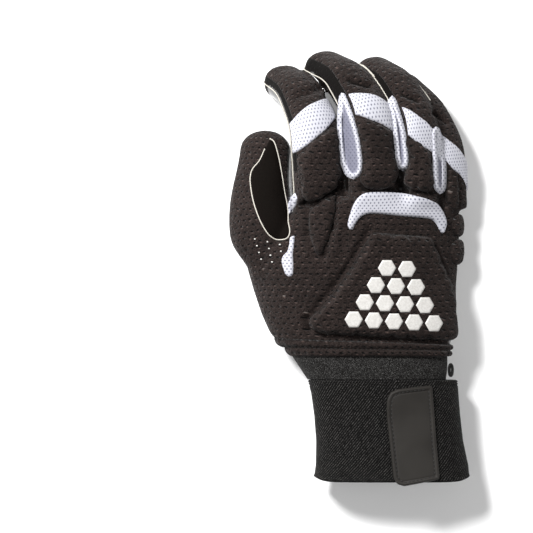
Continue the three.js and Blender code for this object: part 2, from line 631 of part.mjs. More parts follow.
function sleeveRing(rows, top, length, at, offset) {
  const half = cuffWidth / 2;
  const left = readTable(rows, at, 'left') * half;
  const right = readTable(rows, at, 'right') * half;
  const middle = readTable(rows, at, 'middle') * cuffHeight;
  const thick = readTable(rows, at, 'half') * cuffHeight;
  const ring = [];
  for (let j = 0; j < aroundCuff; j += 1) {
    const angle = (j / aroundCuff) * 2 * Math.PI;
    const x = (left + right) / 2 + ((right - left) / 2 + offset) * signedPower(Math.cos(angle), 2 / 2.5);
    const z = middle + (thick + offset) * signedPower(Math.sin(angle), 2 / 2.5);
    ring.push(new THREE.Vector3(x, top - at * length, Math.max(z, cuffRest - offset)));
  }
  return ring;
}

function sleeve(rows, top, length, inside, outside) {
  const rings = (offset) => rows.map((row) => sleeveRing(rows, top, length, row.at, offset));
  return loft([...rings(outside), ...rings(inside).reverse()], true);
}

addPiece('wrist_band', sleeve(bandRows, bandTop, bandLength, -wall, 0), 'knit');
addPiece('cuff', sleeve(cuffRows, cuffTop, cuffLength, -cuffWall, 0), 'elastic');

const longRows = [...cuffRows, { ...cuffRows[cuffRows.length - 1], at: 1 + strapOverhang }];
function onCuff(outline, height, from, to, settings) {
  const layer = solidFrom(sleeve(longRows, cuffTop, cuffLength, lift, lift + height));
  return geometryFrom(largest(layer.intersect(prism(outline, from, to, settings))));
}

const tab = (x, y) => [0.227 + (x * strapWidth) / knuckleSpan, -0.775 - (y * strapLength) / handLength];
const strapOutline = [tab(0, 0.1), tab(0.1, 0.02), tab(0.5, 0), tab(0.95, -0.02), tab(1, 0.2),
  tab(1.12, 0.9), tab(0.9, 0.94), tab(0.3, 0.98), tab(0.13, 0.93), tab(0.1, 0.5)];
addPiece('strap_tab', onCuff(strapOutline, strapThickness, cuffHeight / 2, ceiling, { steps: 30 }), 'strap');
const labelOutline = [[-0.14, -0.875], [0.60, -0.875], [0.60, -1.25], [-0.14, -1.25]];
addPiece('cuff_label', onCuff(labelOutline, labelThickness, floor, cuffHeight / 3, sharp), 'label');
const pullOutline = [[0.17, -1.275], [0.285, -1.275], [0.285, -1.36], [0.17, -1.36]];
addPiece('pull_loop', onCuff(pullOutline, labelThickness, floor, cuffHeight / 3, sharp), 'elastic');

// Small webbing loop that stands out of the wrist seam on the little-finger side.
const loopRadius = 4.4;
const loopWidth = 6;
const loopShape = new THREE.Shape();
loopShape.absarc(0, 0, loopRadius, -1.4, 1.4, false);
loopShape.absarc(0, 0, loopRadius - loopThickness, 1.4, -1.4, true);
const loop = new THREE.ExtrudeGeometry(loopShape,
  { depth: loopWidth, bevelEnabled: false, curveSegments: 8 });
loop.translate(bandRows[1].right * (cuffWidth / 2) + gap, bandTop - 0.62 * bandLength, 0.42 * cuffHeight);
addPiece('side_loop', geometryFrom(solidFrom(loop)), 'elastic');

// The origin is on the surface, under the middle of the glove.
const box = new THREE.Box3().setFromObject(glove);
glove.position.set(-(box.min.x + box.max.x) / 2, -(box.min.y + box.max.y) / 2, -box.min.z);

export default glove;
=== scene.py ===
# %% [markdown]
# # A padded football glove
# The glove lies palm down with its fingers curled. Its skin is one smooth cloth form,
# and pads, mesh bands, piping and straps are sewn on that form.
# All shapes are worked out in millimetres in the frame of the measured model, and each
# mesh is scaled to metres when it is made.

# %% Load the measured model
import math
import bmesh
import bpy
import numpy as np
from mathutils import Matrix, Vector
from mathutils.bvhtree import BVHTree


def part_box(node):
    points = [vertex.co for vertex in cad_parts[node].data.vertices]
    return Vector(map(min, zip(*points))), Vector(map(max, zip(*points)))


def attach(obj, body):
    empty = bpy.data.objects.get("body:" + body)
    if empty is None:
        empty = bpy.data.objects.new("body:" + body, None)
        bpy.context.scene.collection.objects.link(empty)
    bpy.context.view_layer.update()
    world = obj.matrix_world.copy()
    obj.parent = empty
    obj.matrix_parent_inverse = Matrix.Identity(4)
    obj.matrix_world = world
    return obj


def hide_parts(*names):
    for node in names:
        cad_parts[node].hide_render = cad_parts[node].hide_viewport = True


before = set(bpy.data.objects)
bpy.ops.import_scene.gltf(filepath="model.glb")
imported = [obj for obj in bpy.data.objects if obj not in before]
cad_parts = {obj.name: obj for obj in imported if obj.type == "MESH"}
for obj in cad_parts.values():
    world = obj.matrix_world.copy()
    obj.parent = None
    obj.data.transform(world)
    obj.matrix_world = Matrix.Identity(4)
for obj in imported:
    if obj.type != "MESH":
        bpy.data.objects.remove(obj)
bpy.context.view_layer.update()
MM = 0.001
print("model with", len(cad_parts), "nodes")

# %% [markdown]
# ## Small tools for arrays
# Every surface below is a grid of points: rows along the piece and columns around or
# across it. A few short tools cover the rest: easing between two values, reading a table
# of rows at any place, and drawing a smooth line through a few marked points.


# %% Easing, tables and smooth lines
def ease(x):
    """0 below 0, 1 above 1, and the S-shaped cubic 3x^2 - 2x^3 between."""
    x = np.clip(x, 0, 1)
    return x * x * (3 - 2 * x)


def signed_power(x, exponent):
    """The power of the size of x, with the sign of x: it squares off a circle."""
    return np.sign(x) * np.abs(x) ** exponent


class Rows:
    """A table of sections along a piece, read at any place with its corners rounded."""

    def __init__(self, columns, rows, width=0.07):
        rows = np.array(rows, float)
        self.columns = columns
        self.at = np.linspace(rows[0, 0], rows[-1, 0], 300)
        reach = max(1, int(width * 300 / 2))
        kernel = np.hanning(2 * reach + 3)[1:-1]
        kernel /= kernel.sum()
        self.values = []
        for k in range(1, rows.shape[1]):
            line = np.interp(self.at, rows[:, 0], rows[:, k])
            padded = np.concatenate([
                2 * line[0] - line[reach:0:-1],
                line,
                2 * line[-1] - line[-2:-reach - 2:-1],
            ])
            self.values.append(np.convolve(padded, kernel, "valid"))

    def __call__(self, name, at):
        return np.interp(at, self.at, self.values[self.columns.index(name)])


def run_along(line):
    """How far each point of a line is from its start, along the line."""
    return np.concatenate([[0], np.cumsum(np.linalg.norm(np.diff(line, axis=0), axis=1))])


def smooth_line(points, count):
    """Points evenly spaced on the cubic curve that runs through the given points."""
    p = np.array(points, float)
    p = np.concatenate([2 * p[:1] - p[1:2], p, 2 * p[-1:] - p[-2:-1]])
    t = np.linspace(0, 1, 16, endpoint=False)[:, None]
    parts = []
    for a, b, c, d in zip(p[:-3], p[1:-2], p[2:-1], p[3:]):
        parts.append(0.5 * (2 * b + (c - a) * t + (2 * a - 5 * b + 4 * c - d) * t**2
                            + (3 * b - a - 3 * c + d) * t**3))
    line = np.concatenate(parts + [p[-2:-1]])
    run = run_along(line)
    at = np.linspace(0, run[-1], count)
    return np.stack([np.interp(at, run, line[:, k]) for k in range(line.shape[1])], 1)


def distance_to_line(points, line):
    """Shortest distance from each plan point to a line of straight pieces."""
    flat = np.asarray(points, float).reshape(-1, 1, 2)
    a, b = line[None, :-1], line[None, 1:]
    along = b - a
    length = np.maximum((along**2).sum(-1), 1e-12)
    share = np.clip(((flat - a) * along).sum(-1) / length, 0, 1)
    near = a + share[..., None] * along
    return np.sqrt(((flat - near) ** 2).sum(-1)).min(1).reshape(np.shape(points)[:-1])


print("array tools ready")

# %% [markdown]
# ## A plan drawing
# The outlines of the sewn pieces are read from a plan drawing of the glove's back, in
# squares of 0.62 mm, x to the right and y down. The palm has a drawing of its own, seen
# from below, so its x runs the other way.

# %% From drawing squares to millimetres
SQUARE = 0.62
DRAWING_WIDTH = 533
MIDDLE_SQUARE = (348, 267.5)
PALM_MIRROR = 541.0
MIDDLE = np.array([-3.52, -0.02, 0.0])   # the form's own middle line, in the model's frame


def plan(points):
    """Squares of the back drawing, as millimetres in the model's frame."""
    p = np.array(points, float)
    return np.stack([(p[..., 0] - MIDDLE_SQUARE[0]) * SQUARE + MIDDLE[0],
                     (MIDDLE_SQUARE[1] - p[..., 1]) * SQUARE + MIDDLE[1]], -1)


def palm_plan(points):
    """Squares of the palm drawing, as millimetres in the model's frame."""
    p = np.array(points, float)
    return plan(np.stack([PALM_MIRROR - p[..., 0], p[..., 1]], -1))


print("one square is", SQUARE, "mm")

# %% [markdown]
# ## From grids to meshes
# One function turns a grid into a mesh. It closes the grid into a ring where the piece
# goes all the way round, and gives every piece a map in millimetres, so that
# weaves and punched holes keep their real size and follow the cloth.

# %% Making meshes
def grid_faces(rows, columns, ring):
    """Four-sided faces between neighbouring rows and columns of a grid."""
    i, j = np.meshgrid(np.arange(rows - 1), np.arange(columns if ring else columns - 1), indexing="ij")
    k = (j + 1) % columns
    quads = np.stack([i * columns + j, i * columns + k, (i + 1) * columns + k, (i + 1) * columns + j], -1)
    return quads.reshape(-1, 4)


def joined(blocks):
    """Several sets of points and faces as one."""
    points, faces, base = [], [], 0
    for flat, own_faces in blocks:
        points.append(flat)
        faces += [[k + base for k in face] for face in own_faces]
        base += len(flat)
    return np.concatenate(points), faces


def make_object(name, points, faces, cloth_map=None, values=None):
    """A mesh object from points in millimetres, with its map and its value layers."""
    points = np.array(points, float)
    points[:, 2] = np.maximum(points[:, 2], 0)   # nothing reaches below the floor
    mesh = bpy.data.meshes.new(name)
    mesh.from_pydata((points * MM).tolist(), [], [list(map(int, f)) for f in faces])
    if cloth_map is not None:
        layer = mesh.uv_layers.new(name="cloth")
        corners = np.empty(len(mesh.loops), int)
        mesh.loops.foreach_get("vertex_index", corners)
        layer.data.foreach_set("uv", np.asarray(cloth_map, np.float32)[corners].ravel())
    for key, value in (values or {}).items():
        layer = mesh.attributes.new(key, "FLOAT", "POINT")
        layer.data.foreach_set("value", np.asarray(value, np.float32).ravel())
    mesh.shade_smooth()
    piece = bpy.data.objects.new(name, mesh)
    bpy.context.scene.collection.objects.link(piece)
    return piece


def face_outward(piece, up=None):
    """Turns the faces outwards, or towards up for an open sheet."""
    shape = bmesh.new()
    shape.from_mesh(piece.data)
    if up is None:
        bmesh.ops.recalc_face_normals(shape, faces=shape.faces)
        if shape.calc_volume(signed=True) < 0:
            bmesh.ops.reverse_faces(shape, faces=shape.faces)
    else:
        total = sum((f.normal * f.calc_area() for f in shape.faces), Vector())
        if total.dot(Vector(up)) < 0:
            bmesh.ops.reverse_faces(shape, faces=shape.faces)
    shape.to_mesh(piece.data)
    shape.free()
    return piece


def wear(piece, material, slot, *nodes, pad=None):
    """Gives a piece its finish, hangs it under the root, and hides the model's parts that it stands for."""
    piece.data.materials.clear()
    piece.data.materials.append(material)
    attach(piece, "root")
    if nodes:
        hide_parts(*nodes)
    return piece


print("mesh tools ready")

# %% [markdown]
# ## The form of the hand
# A stuffed glove is a smooth form: the hand with squarish sections that lean and
# drop at their edges, and five bent tubes. The hand's table of sections is the measured
# model's, with its corners rounded. The fingers lie closer together than in the measured
# model, and they and the thumb are fuller.

# %% The hand's sections
HAND_LENGTH = 96.0
KNUCKLE_SPAN = 103.0
KNUCKLE_HEIGHT = 51.0
FINGER_LENGTH = 104.0
FINGER_WIDTH = 30.0
THUMB_LENGTH = 69.0
THUMB_WIDTH = 34.0
WRIST_Y = -0.5625 * HAND_LENGTH
HAND_REST = 3.8

hand_rows = Rows(
    ["left", "right", "middle", "half", "thumb_drop", "far_drop", "lean"],
    [
        [-0.02, -0.62, 1.20, 0.46, 0.40, 0.0, 0.0, 0],
        [0.0, -0.66, 1.22, 0.46, 0.41, 0.0, 0.0, 0],
        [0.13, -0.93, 1.25, 0.48, 0.42, 0.08, 0.05, 0],
        [0.26, -1.04, 1.31, 0.51, 0.42, 0.20, 0.10, -2],
        [0.42, -1.14, 1.30, 0.55, 0.40, 0.32, 0.14, -3],
        [0.57, -1.22, 1.32, 0.60, 0.37, 0.42, 0.17, -4],
        [0.68, -1.18, 1.33, 0.63, 0.35, 0.44, 0.18, -5],
        [0.77, -0.98, 1.34, 0.65, 0.33, 0.36, 0.18, -6],
        [0.84, -0.74, 1.34, 0.66, 0.315, 0.22, 0.17, -8],
        [0.91, -0.665, 1.335, 0.67, 0.30, 0.18, 0.17, -9],
        [1.0, -0.65, 1.33, 0.67, 0.285, 0.16, 0.16, -10],
    ],
)


def hand_section(at):
    """Middle, half sizes, drops and lean of the hand's section, in millimetres."""
    half = KNUCKLE_SPAN / 2
    left = hand_rows("left", at) * half
    right = hand_rows("right", at) * half
    return {
        "x": (left + right) / 2 + MIDDLE[0],
        "z": hand_rows("middle", at) * KNUCKLE_HEIGHT,
        "half_width": (right - left) / 2,
        "half_height": hand_rows("half", at) * KNUCKLE_HEIGHT,
        "thumb_drop": hand_rows("thumb_drop", at) * KNUCKLE_HEIGHT,
        "far_drop": hand_rows("far_drop", at) * KNUCKLE_HEIGHT,
        "lean": np.radians(hand_rows("lean", at)),
    }


def middle_height(section, x):
    """Height of the hand's middle surface: an arch that drops to both edges and leans."""
    across = x - section["x"]
    share = across / section["half_width"]
    drop = np.where(share < 0, section["thumb_drop"], section["far_drop"])
    return section["z"] - drop * share**2 + np.tan(section["lean"]) * across


def hand_point(at, angle, offset):
    """A point of the hand: a squared ellipse round the arched middle surface."""
    at, angle, offset = np.broadcast_arrays(at, angle, offset)
    section = hand_section(at)
    squareness = 2 / 2.6
    x = section["x"] + (section["half_width"] + offset) * signed_power(np.cos(angle), squareness)
    up = (section["half_height"] + offset) * signed_power(np.sin(angle), squareness)
    z = np.maximum(middle_height(section, x) + up, HAND_REST - offset)
    return np.stack([x, WRIST_Y + at * HAND_LENGTH + MIDDLE[1], z], -1)


print("hand from y", WRIST_Y, "to", WRIST_Y + HAND_LENGTH)


# %% Bent tubes for the fingers and the thumb
def bent_tube(base, yaw, rise, roll, lengths, bends, sweep, half, tip_half, tip, root, square, rest):
    """A tube's centre line: it heads along yaw and rise, and bends at two joints."""
    yaw, rise, roll = np.radians([yaw, rise, roll])
    start = np.array([-np.sin(yaw) * np.cos(rise), np.cos(yaw) * np.cos(rise), np.sin(rise)])
    level = np.cross(start, [0, 0, 1])
    level /= np.linalg.norm(level)
    back = np.cross(level, start) * np.cos(roll) + level * np.sin(roll)
    side = np.cross(start, back)
    first, second, third = lengths
    total = first + second + third
    s = np.linspace(0, total, 61)[:, None]
    bend = (np.radians(bends[0]) * ease(0.5 + (s - first) / 22)
            + np.radians(bends[1]) * ease(0.5 + (s - first - second) / 18))
    turn = np.radians(sweep) * ease((s - first + 15) / (second + 20))
    ahead = start * np.cos(bend) - back * np.sin(bend)
    top = back * np.cos(bend) + start * np.sin(bend)
    ahead = ahead * np.cos(turn) - side * np.sin(turn)
    ahead /= np.linalg.norm(ahead, axis=1, keepdims=True)
    steps = np.vstack([np.zeros(3), np.cumsum(ahead[1:] * total / 60, axis=0)])
    return {
        "centre": np.array(base) + MIDDLE + steps, "ahead": ahead, "top": top,
        "across": np.cross(ahead, top), "s": s[:, 0], "total": total, "tip": tip,
        "half": half, "tip_half": tip_half, "root": root, "square": square, "rest": rest,
    }


def tube_sizes(tube, s):
    """Half width and half height of a tube, and how square it is, at a place along it."""
    k = ease((s / tube["total"] - 0.35) / 0.65)
    girth = tube["root"] + (1 - tube["root"]) * ease(s / (0.35 * tube["total"]))
    half_width = girth * (tube["half"][0] + (tube["tip_half"][0] - tube["half"][0]) * k)
    half_height = girth * (tube["half"][1] + (tube["tip_half"][1] - tube["half"][1]) * k)
    square = tube["square"] + (2.3 - tube["square"]) * np.clip(s / (0.4 * tube["total"]), 0, 1)
    return half_width, half_height, square


def tube_point(tube, s, angle, offset):
    """A point of a tube: a squared ellipse across its line, and a quarter turn round its end."""
    s, angle, offset = np.broadcast_arrays(s, angle, offset)
    at = np.clip(s, 0, tube["total"])
    centre, ahead, top, across = (
        np.stack([np.interp(at, tube["s"], tube[key][:, k]) for k in range(3)], -1)
        for key in ("centre", "ahead", "top", "across"))
    half_width, half_height, square = tube_sizes(tube, at)
    turn = np.clip((s - tube["total"]) / tube["tip"], 0, 1) * np.pi / 2
    w = (half_width + offset) * np.cos(turn) * signed_power(np.cos(angle), 2 / square)
    h = (half_height + offset) * np.cos(turn) * signed_power(np.sin(angle), 2 / square)
    out = centre + ahead * ((tube["tip"] + offset) * np.sin(turn))[..., None]
    out = out + across * w[..., None] + top * h[..., None]
    out[..., 2] = np.maximum(out[..., 2], tube["rest"] - offset)
    return out


# Bases are shares of the finger's width, the hand's length and the knuckles' height. Lengths
# are shares of the finger's length, and sizes of its width. The rest is in degrees.
finger_rows = {
    "index": {
        "base": (-0.60, 0.4166, 0.71), "heading": (3.6, 2, 16), "lengths": (0.44, 0.29, 0.17),
        "bends": (38, 32, 11), "sizes": (1.04, 0.88, 0.86, 0.70),
    },
    "middle": {
        "base": (0.483, 0.4322, 0.75), "heading": (2.4, 3, 19), "lengths": (0.485, 0.31, 0.20),
        "bends": (38, 33, 18), "sizes": (1.04, 0.89, 0.90, 0.72),
    },
    "ring": {
        "base": (1.45, 0.4166, 0.65), "heading": (1.2, 3, 24), "lengths": (0.47, 0.30, 0.18),
        "bends": (37, 31, 17), "sizes": (0.92, 0.80, 0.84, 0.68),
    },
    "little": {
        "base": (2.04, 0.375, 0.39), "heading": (0.2, 4, 34), "lengths": (0.36, 0.28, 0.19),
        "bends": (27, 24, 17), "sizes": (0.78, 0.70, 0.68, 0.60),
    },
}
tubes = {}
for name, row in finger_rows.items():
    base = row["base"]
    bends = row["bends"]
    w = np.array(row["sizes"]) * FINGER_WIDTH / 2
    tubes[name] = bent_tube(
        (base[0] * FINGER_WIDTH, base[1] * HAND_LENGTH, base[2] * KNUCKLE_HEIGHT), *row["heading"],
        np.array(row["lengths"]) * FINGER_LENGTH, bends[:2], bends[2],
        (w[0], w[1]), (w[2], w[3]), w[3], 1.0, 3.4, 0.0)
tubes["thumb"] = bent_tube(
    (-0.46 * KNUCKLE_SPAN, -0.04 * HAND_LENGTH, 0.45 * KNUCKLE_HEIGHT), 12, -6, -22,
    np.array([0.42, 0.37, 0.34]) * THUMB_LENGTH, (3, 5), -16,
    (0.62 * THUMB_WIDTH, 0.46 * THUMB_WIDTH), (0.48 * THUMB_WIDTH, 0.34 * THUMB_WIDTH),
    0.36 * THUMB_WIDTH, 0.6, 2.4, 1.5)
print("tubes:", ", ".join(f"{n} {t['total']:.0f} mm" for n, t in tubes.items()))

# %% [markdown]
# ## One skin for the whole hand
# Real glove cloth runs smoothly from the hand into the fingers. Separate tubes would show
# a hard crease where they meet, so the hand and the tubes are joined, rebuilt on a
# fine grid of cells and eased with a few rounds of averaging. Joint creases and the
# folds beside the pads are then pressed in as soft grooves.


# %% Closed grids, joined and rebuilt
def closed_grid(points):
    """Points and faces of a tube grid, with its two ends closed by fans."""
    rows, columns = points.shape[:2]
    flat = points.reshape(-1, 3)
    faces = grid_faces(rows, columns, True).tolist()
    start, end = len(flat), len(flat) + 1
    flat = np.concatenate([flat, points[0].mean(0)[None], points[-1].mean(0)[None]])
    last = (rows - 1) * columns
    for j in range(columns):
        k = (j + 1) % columns
        faces.append([start, k, j])
        faces.append([end, last + j, last + k])
    return flat, faces


around = np.linspace(0, 2 * np.pi, 72, endpoint=False)[None, :]
forms = [closed_grid(hand_point(np.linspace(-0.02, 1.0, 90)[:, None], around, 0.0))]
for tube in tubes.values():
    past_end = tube["tip"] * np.linspace(0.08, 0.98, 12)
    s = np.concatenate([np.linspace(0, tube["total"], 80), tube["total"] + past_end])
    forms.append(closed_grid(tube_point(tube, s[:, None], around, 0.0)))

rough_form = make_object("form", *joined(forms))
face_outward(rough_form)
cells = rough_form.modifiers.new("cells", "REMESH")
cells.mode = "VOXEL"
cells.voxel_size = 1.05 * MM
bpy.context.view_layer.update()
rebuilt = rough_form.evaluated_get(bpy.context.evaluated_depsgraph_get()).to_mesh()
skin_points = np.empty(len(rebuilt.vertices) * 3)
rebuilt.vertices.foreach_get("co", skin_points)
skin_points = skin_points.reshape(-1, 3) / MM
skin_faces = np.empty(len(rebuilt.polygons) * 4, int)
rebuilt.polygons.foreach_get("vertices", skin_faces)
skin_faces = skin_faces.reshape(-1, 4)
rough_form.evaluated_get(bpy.context.evaluated_depsgraph_get()).to_mesh_clear()
bpy.data.objects.remove(rough_form)
print("skin of", len(skin_points), "points")


# %% Averaging and grooves
def edges_of(faces):
    """Each edge of a set of four-sided faces, once."""
    pairs = np.concatenate([faces[:, [k, (k + 1) % 4]] for k in range(4)])
    return np.unique(np.sort(pairs, axis=1), axis=0)


def average(points, edges, rounds, share=0.5):
    """Moves each point a share of the way to the mean of its neighbours, round by round."""
    count = np.bincount(edges.ravel(), minlength=len(points))[:, None]
    for step in range(rounds):
        total = np.zeros_like(points)
        for k in range(3):
            total[:, k] = (np.bincount(edges[:, 0], points[edges[:, 1], k], len(points))
                           + np.bincount(edges[:, 1], points[edges[:, 0], k], len(points)))
        points = points + share * (total / count - points)
    return points


def point_normals(points, faces):
    """Mean direction of the faces round each point, weighted by their areas."""
    a, b, c, d = (points[faces[:, k]] for k in range(4))
    face = np.cross(c - a, d - b)
    out = np.zeros_like(points)
    for k in range(4):
        for axis in range(3):
            out[:, axis] += np.bincount(faces[:, k], face[:, axis], len(points))
    return out / np.maximum(np.linalg.norm(out, axis=1, keepdims=True), 1e-9)


skin_edges = edges_of(skin_faces)
skin_points = average(skin_points, skin_edges, 14)
skin_normals = point_normals(skin_points, skin_faces)

# Grooves: two ends in drawing squares, depth and width in millimetres.
grooves = [
    ((349, 81), (370, 86), 3.4, 1.5),
    ((403, 95), (418, 101), 2.8, 1.4),
    ((434, 113), (447, 123), 2.2, 1.4),
    ((297, 97), (322, 88), 1.7, 2.2),
    ((304, 204), (320, 201), 3.4, 3.0),
    ((320, 201), (337, 191), 3.4, 3.0),
    ((337, 193), (332, 228), 2.0, 2.4),
    ((332, 228), (323, 258), 2.0, 2.4),
    ((308, 207), (307, 235), 1.2, 2.4),
    ((307, 235), (316, 258), 1.2, 2.4),
    ((362, 190), (394, 190), 3.0, 2.6),
    ((400, 172), (402, 192), 3.2, 3.2),
    ((406, 192), (434, 194), 2.4, 2.4),
    ((440, 196), (444, 212), 2.2, 2.4),
    ((346, 232), (340, 262), 1.0, 4.0),
    ((369, 230), (345, 271), 1.6, 2.4),
    ((345, 271), (308, 318), 1.6, 2.4),
    ((308, 318), (309, 328), 1.6, 2.4),
    ((309, 328), (324, 335), 1.4, 2.0),
    ((324, 336), (450, 342), 1.4, 2.0),
]
top = skin_normals[:, 2] > -0.1
# crease keeps how deep each point lies in a groove, and the punched cloth turns it into painted shade.
crease = np.zeros(len(skin_points))
for one, two, depth, width in grooves:
    away = distance_to_line(skin_points[:, :2], plan([one, two]))
    crease = np.maximum(crease, top * min(depth / 3.0, 1) ** 2 * np.exp(-(away / (0.75 * width)) ** 2))
    skin_points = skin_points - skin_normals * (top * depth * np.exp(-(away / width) ** 2))[:, None]
skin_normals = point_normals(skin_points, skin_faces)
print("grooves pressed in:", len(grooves))

# %% [markdown]
# ## Laying pieces on the skin
# A sewn piece starts as a flat grid inside its outline in the plan drawing. Each point
# drops on to the skin and is then lifted along the skin's own direction by a
# height that depends on how far it is from the piece's edge. A pad swells like a
# pillow, a flat trim has only a soft rounded edge.


# %% Dropping a plan grid on a surface
def surface(points, faces):
    """A surface that other pieces can be laid on."""
    tree = BVHTree.FromPolygons([Vector(p) for p in points], faces.tolist())
    normals = point_normals(points, faces)
    if (normals * (points - points.mean(0))).sum() < 0:
        normals = -normals
    return {"tree": tree, "points": points, "faces": faces, "normals": normals}


def smooth_direction(ground, spots, index):
    """A surface's direction at spots on some of its faces: the nearer a corner, the more it counts."""
    corners = ground["faces"][index]
    away = np.linalg.norm(ground["points"][corners] - spots[:, None], axis=2)
    weight = 1 / (away**2 + 0.05)
    normals = (ground["normals"][corners] * weight[..., None]).sum(1)
    return normals / np.linalg.norm(normals, axis=1, keepdims=True)


def lay_on(ground, xy, below=False, level=25.0):
    """Where plan points meet a surface from above, or from below, and its direction there."""
    flat = np.asarray(xy, float).reshape(-1, 2)
    start, way = (-200.0, Vector((0, 0, 1))) if below else (300.0, Vector((0, 0, -1)))
    hits = np.empty((len(flat), 3))
    index = np.empty(len(flat), int)
    for n, (x, y) in enumerate(flat):
        hit = ground["tree"].ray_cast(Vector((x, y, start)), way)
        if hit[0] is None:
            hit = ground["tree"].find_nearest(Vector((x, y, level)))
        hits[n] = hit[0]
        index[n] = hit[2]
    shape = np.shape(xy)[:-1] + (3,)
    return hits.reshape(shape), smooth_direction(ground, hits, index).reshape(shape)


def snap_on(ground, points):
    """The nearest spots of a surface, and its directions there."""
    flat = points.reshape(-1, 3)
    hits = [ground["tree"].find_nearest(Vector(p)) for p in flat]
    spots = np.array([h[0] for h in hits])
    normals = smooth_direction(ground, spots, [h[2] for h in hits])
    return spots.reshape(points.shape), normals.reshape(points.shape)


def pillow(distance, height, width):
    """Quarter-round rise from the edge of a pad to its full height."""
    t = np.clip(distance / width, 0, 1)
    return height * np.sqrt(np.clip(1 - (1 - t) ** 2, 0, 1))


skin = surface(skin_points, skin_faces)
print("skin ready to sew on")

# %% [markdown]
# ## Finishes
# The glove is mostly black, so its finishes differ in their sheen and their relief: a soft
# punched cloth, a bright mesh, patent leather, dull embossed leather, a speckled
# knit, a ribbed elastic and a moulded tab. Each finish is built from a few shader
# nodes that read the piece's own map, in millimetres.


# %% Node helpers
def finish(name, rough, metal=0.0, **sockets):
    """A material with its main shader, and a small handle to add nodes."""
    material = bpy.data.materials.new(name)
    material.use_nodes = True
    tree = material.node_tree
    shader = tree.nodes["Principled BSDF"]
    shader.inputs["Roughness"].default_value = rough
    shader.inputs["Metallic"].default_value = metal
    for key, value in sockets.items():
        shader.inputs[key.replace("_", " ")].default_value = value
    return material, tree, shader


def link(tree, source, target):
    """Joins a node's output to another node's input."""
    tree.links.new(source, target)


def math_node(tree, operation, *values):
    """One arithmetic node: each value is a number or another node's output."""
    node = tree.nodes.new("ShaderNodeMath")
    node.operation = operation
    for k, value in enumerate(values):
        if isinstance(value, (int, float)):
            node.inputs[k].default_value = value
        else:
            link(tree, value, node.inputs[k])
    return node.outputs[0]


def remap(tree, value, low, high, to_low=0.0, to_high=1.0):
    """Maps a range of values smoothly on to another, held at both ends."""
    node = tree.nodes.new("ShaderNodeMapRange")
    node.interpolation_type = "SMOOTHSTEP"
    link(tree, value, node.inputs["Value"])
    for key, number in (("From Min", low), ("From Max", high), ("To Min", to_low), ("To Max", to_high)):
        node.inputs[key].default_value = number
    return node.outputs["Result"]


def blend_colour(tree, share, one, two):
    """Mixes two colours: each is a tuple or another node's output."""
    node = tree.nodes.new("ShaderNodeMix")
    node.data_type = "RGBA"
    if isinstance(share, (int, float)):
        node.inputs["Factor"].default_value = share
    else:
        link(tree, share, node.inputs["Factor"])
    for socket, value in ((node.inputs[6], one), (node.inputs[7], two)):
        if isinstance(value, tuple):
            socket.default_value = (*value, 1)
        else:
            link(tree, value, socket)
    return node.outputs[2]


def noise(tree, vector, scale, detail=2.0, rough=0.5):
    """Smooth random pattern between 0 and 1, of a given fineness."""
    node = tree.nodes.new("ShaderNodeTexNoise")
    node.inputs["Scale"].default_value = scale
    node.inputs["Detail"].default_value = detail
    node.inputs["Roughness"].default_value = rough
    link(tree, vector, node.inputs["Vector"])
    return node.outputs["Fac"]


def layer_value(tree, name):
    """A value layer of the piece."""
    node = tree.nodes.new("ShaderNodeAttribute")
    node.attribute_name = name
    return node.outputs["Fac"]


def cloth_map(tree):
    """The two parts of the piece's own map, in millimetres."""
    node = tree.nodes.new("ShaderNodeUVMap")
    node.uv_map = "cloth"
    parts = tree.nodes.new("ShaderNodeSeparateXYZ")
    link(tree, node.outputs["UV"], parts.inputs[0])
    return parts.outputs["X"], parts.outputs["Y"]


def object_place(tree):
    """The place of each point in the piece, in metres."""
    return tree.nodes.new("ShaderNodeTexCoord").outputs["Object"]


def bump(tree, shader, height, strength, distance):
    """Fine relief from a pattern of heights, its depth in millimetres."""
    node = tree.nodes.new("ShaderNodeBump")
    node.inputs["Strength"].default_value = strength
    node.inputs["Distance"].default_value = distance * MM
    link(tree, height, node.inputs["Height"])
    link(tree, node.outputs["Normal"], shader.inputs["Normal"])


def dot_rows(tree, x, y, pitch_x, pitch_y, radius, soft, stretch=1.0):
    """Dots on a staggered grid, longer across than along by the stretch: 1 in a dot, 0 outside.

    It also gives a chance number for each dot.
    """
    row = math_node(tree, "FLOOR", math_node(tree, "DIVIDE", y, pitch_y))
    shift = math_node(tree, "MULTIPLY", math_node(tree, "PINGPONG", row, 1.0), 0.5)
    across = math_node(tree, "ADD", math_node(tree, "DIVIDE", x, pitch_x), shift)
    column = math_node(tree, "FLOOR", across)
    share_x = math_node(tree, "FRACT", across)
    dx = math_node(tree, "MULTIPLY", math_node(tree, "SUBTRACT", share_x, 0.5), pitch_x / stretch)
    share_y = math_node(tree, "FRACT", math_node(tree, "DIVIDE", y, pitch_y))
    dy = math_node(tree, "MULTIPLY", math_node(tree, "SUBTRACT", share_y, 0.5), pitch_y)
    squares = math_node(tree, "ADD", math_node(tree, "POWER", dx, 2.0), math_node(tree, "POWER", dy, 2.0))
    away = math_node(tree, "SQRT", squares)
    mask = remap(tree, away, radius + soft, radius - soft)
    row_number = math_node(tree, "MULTIPLY", row, 7.13)
    number = math_node(tree, "ADD", row_number, math_node(tree, "MULTIPLY", column, 3.71))
    chance = math_node(tree, "FRACT", math_node(tree, "MULTIPLY", math_node(tree, "SINE", number), 437.58))
    return mask, chance


print("node helpers ready")


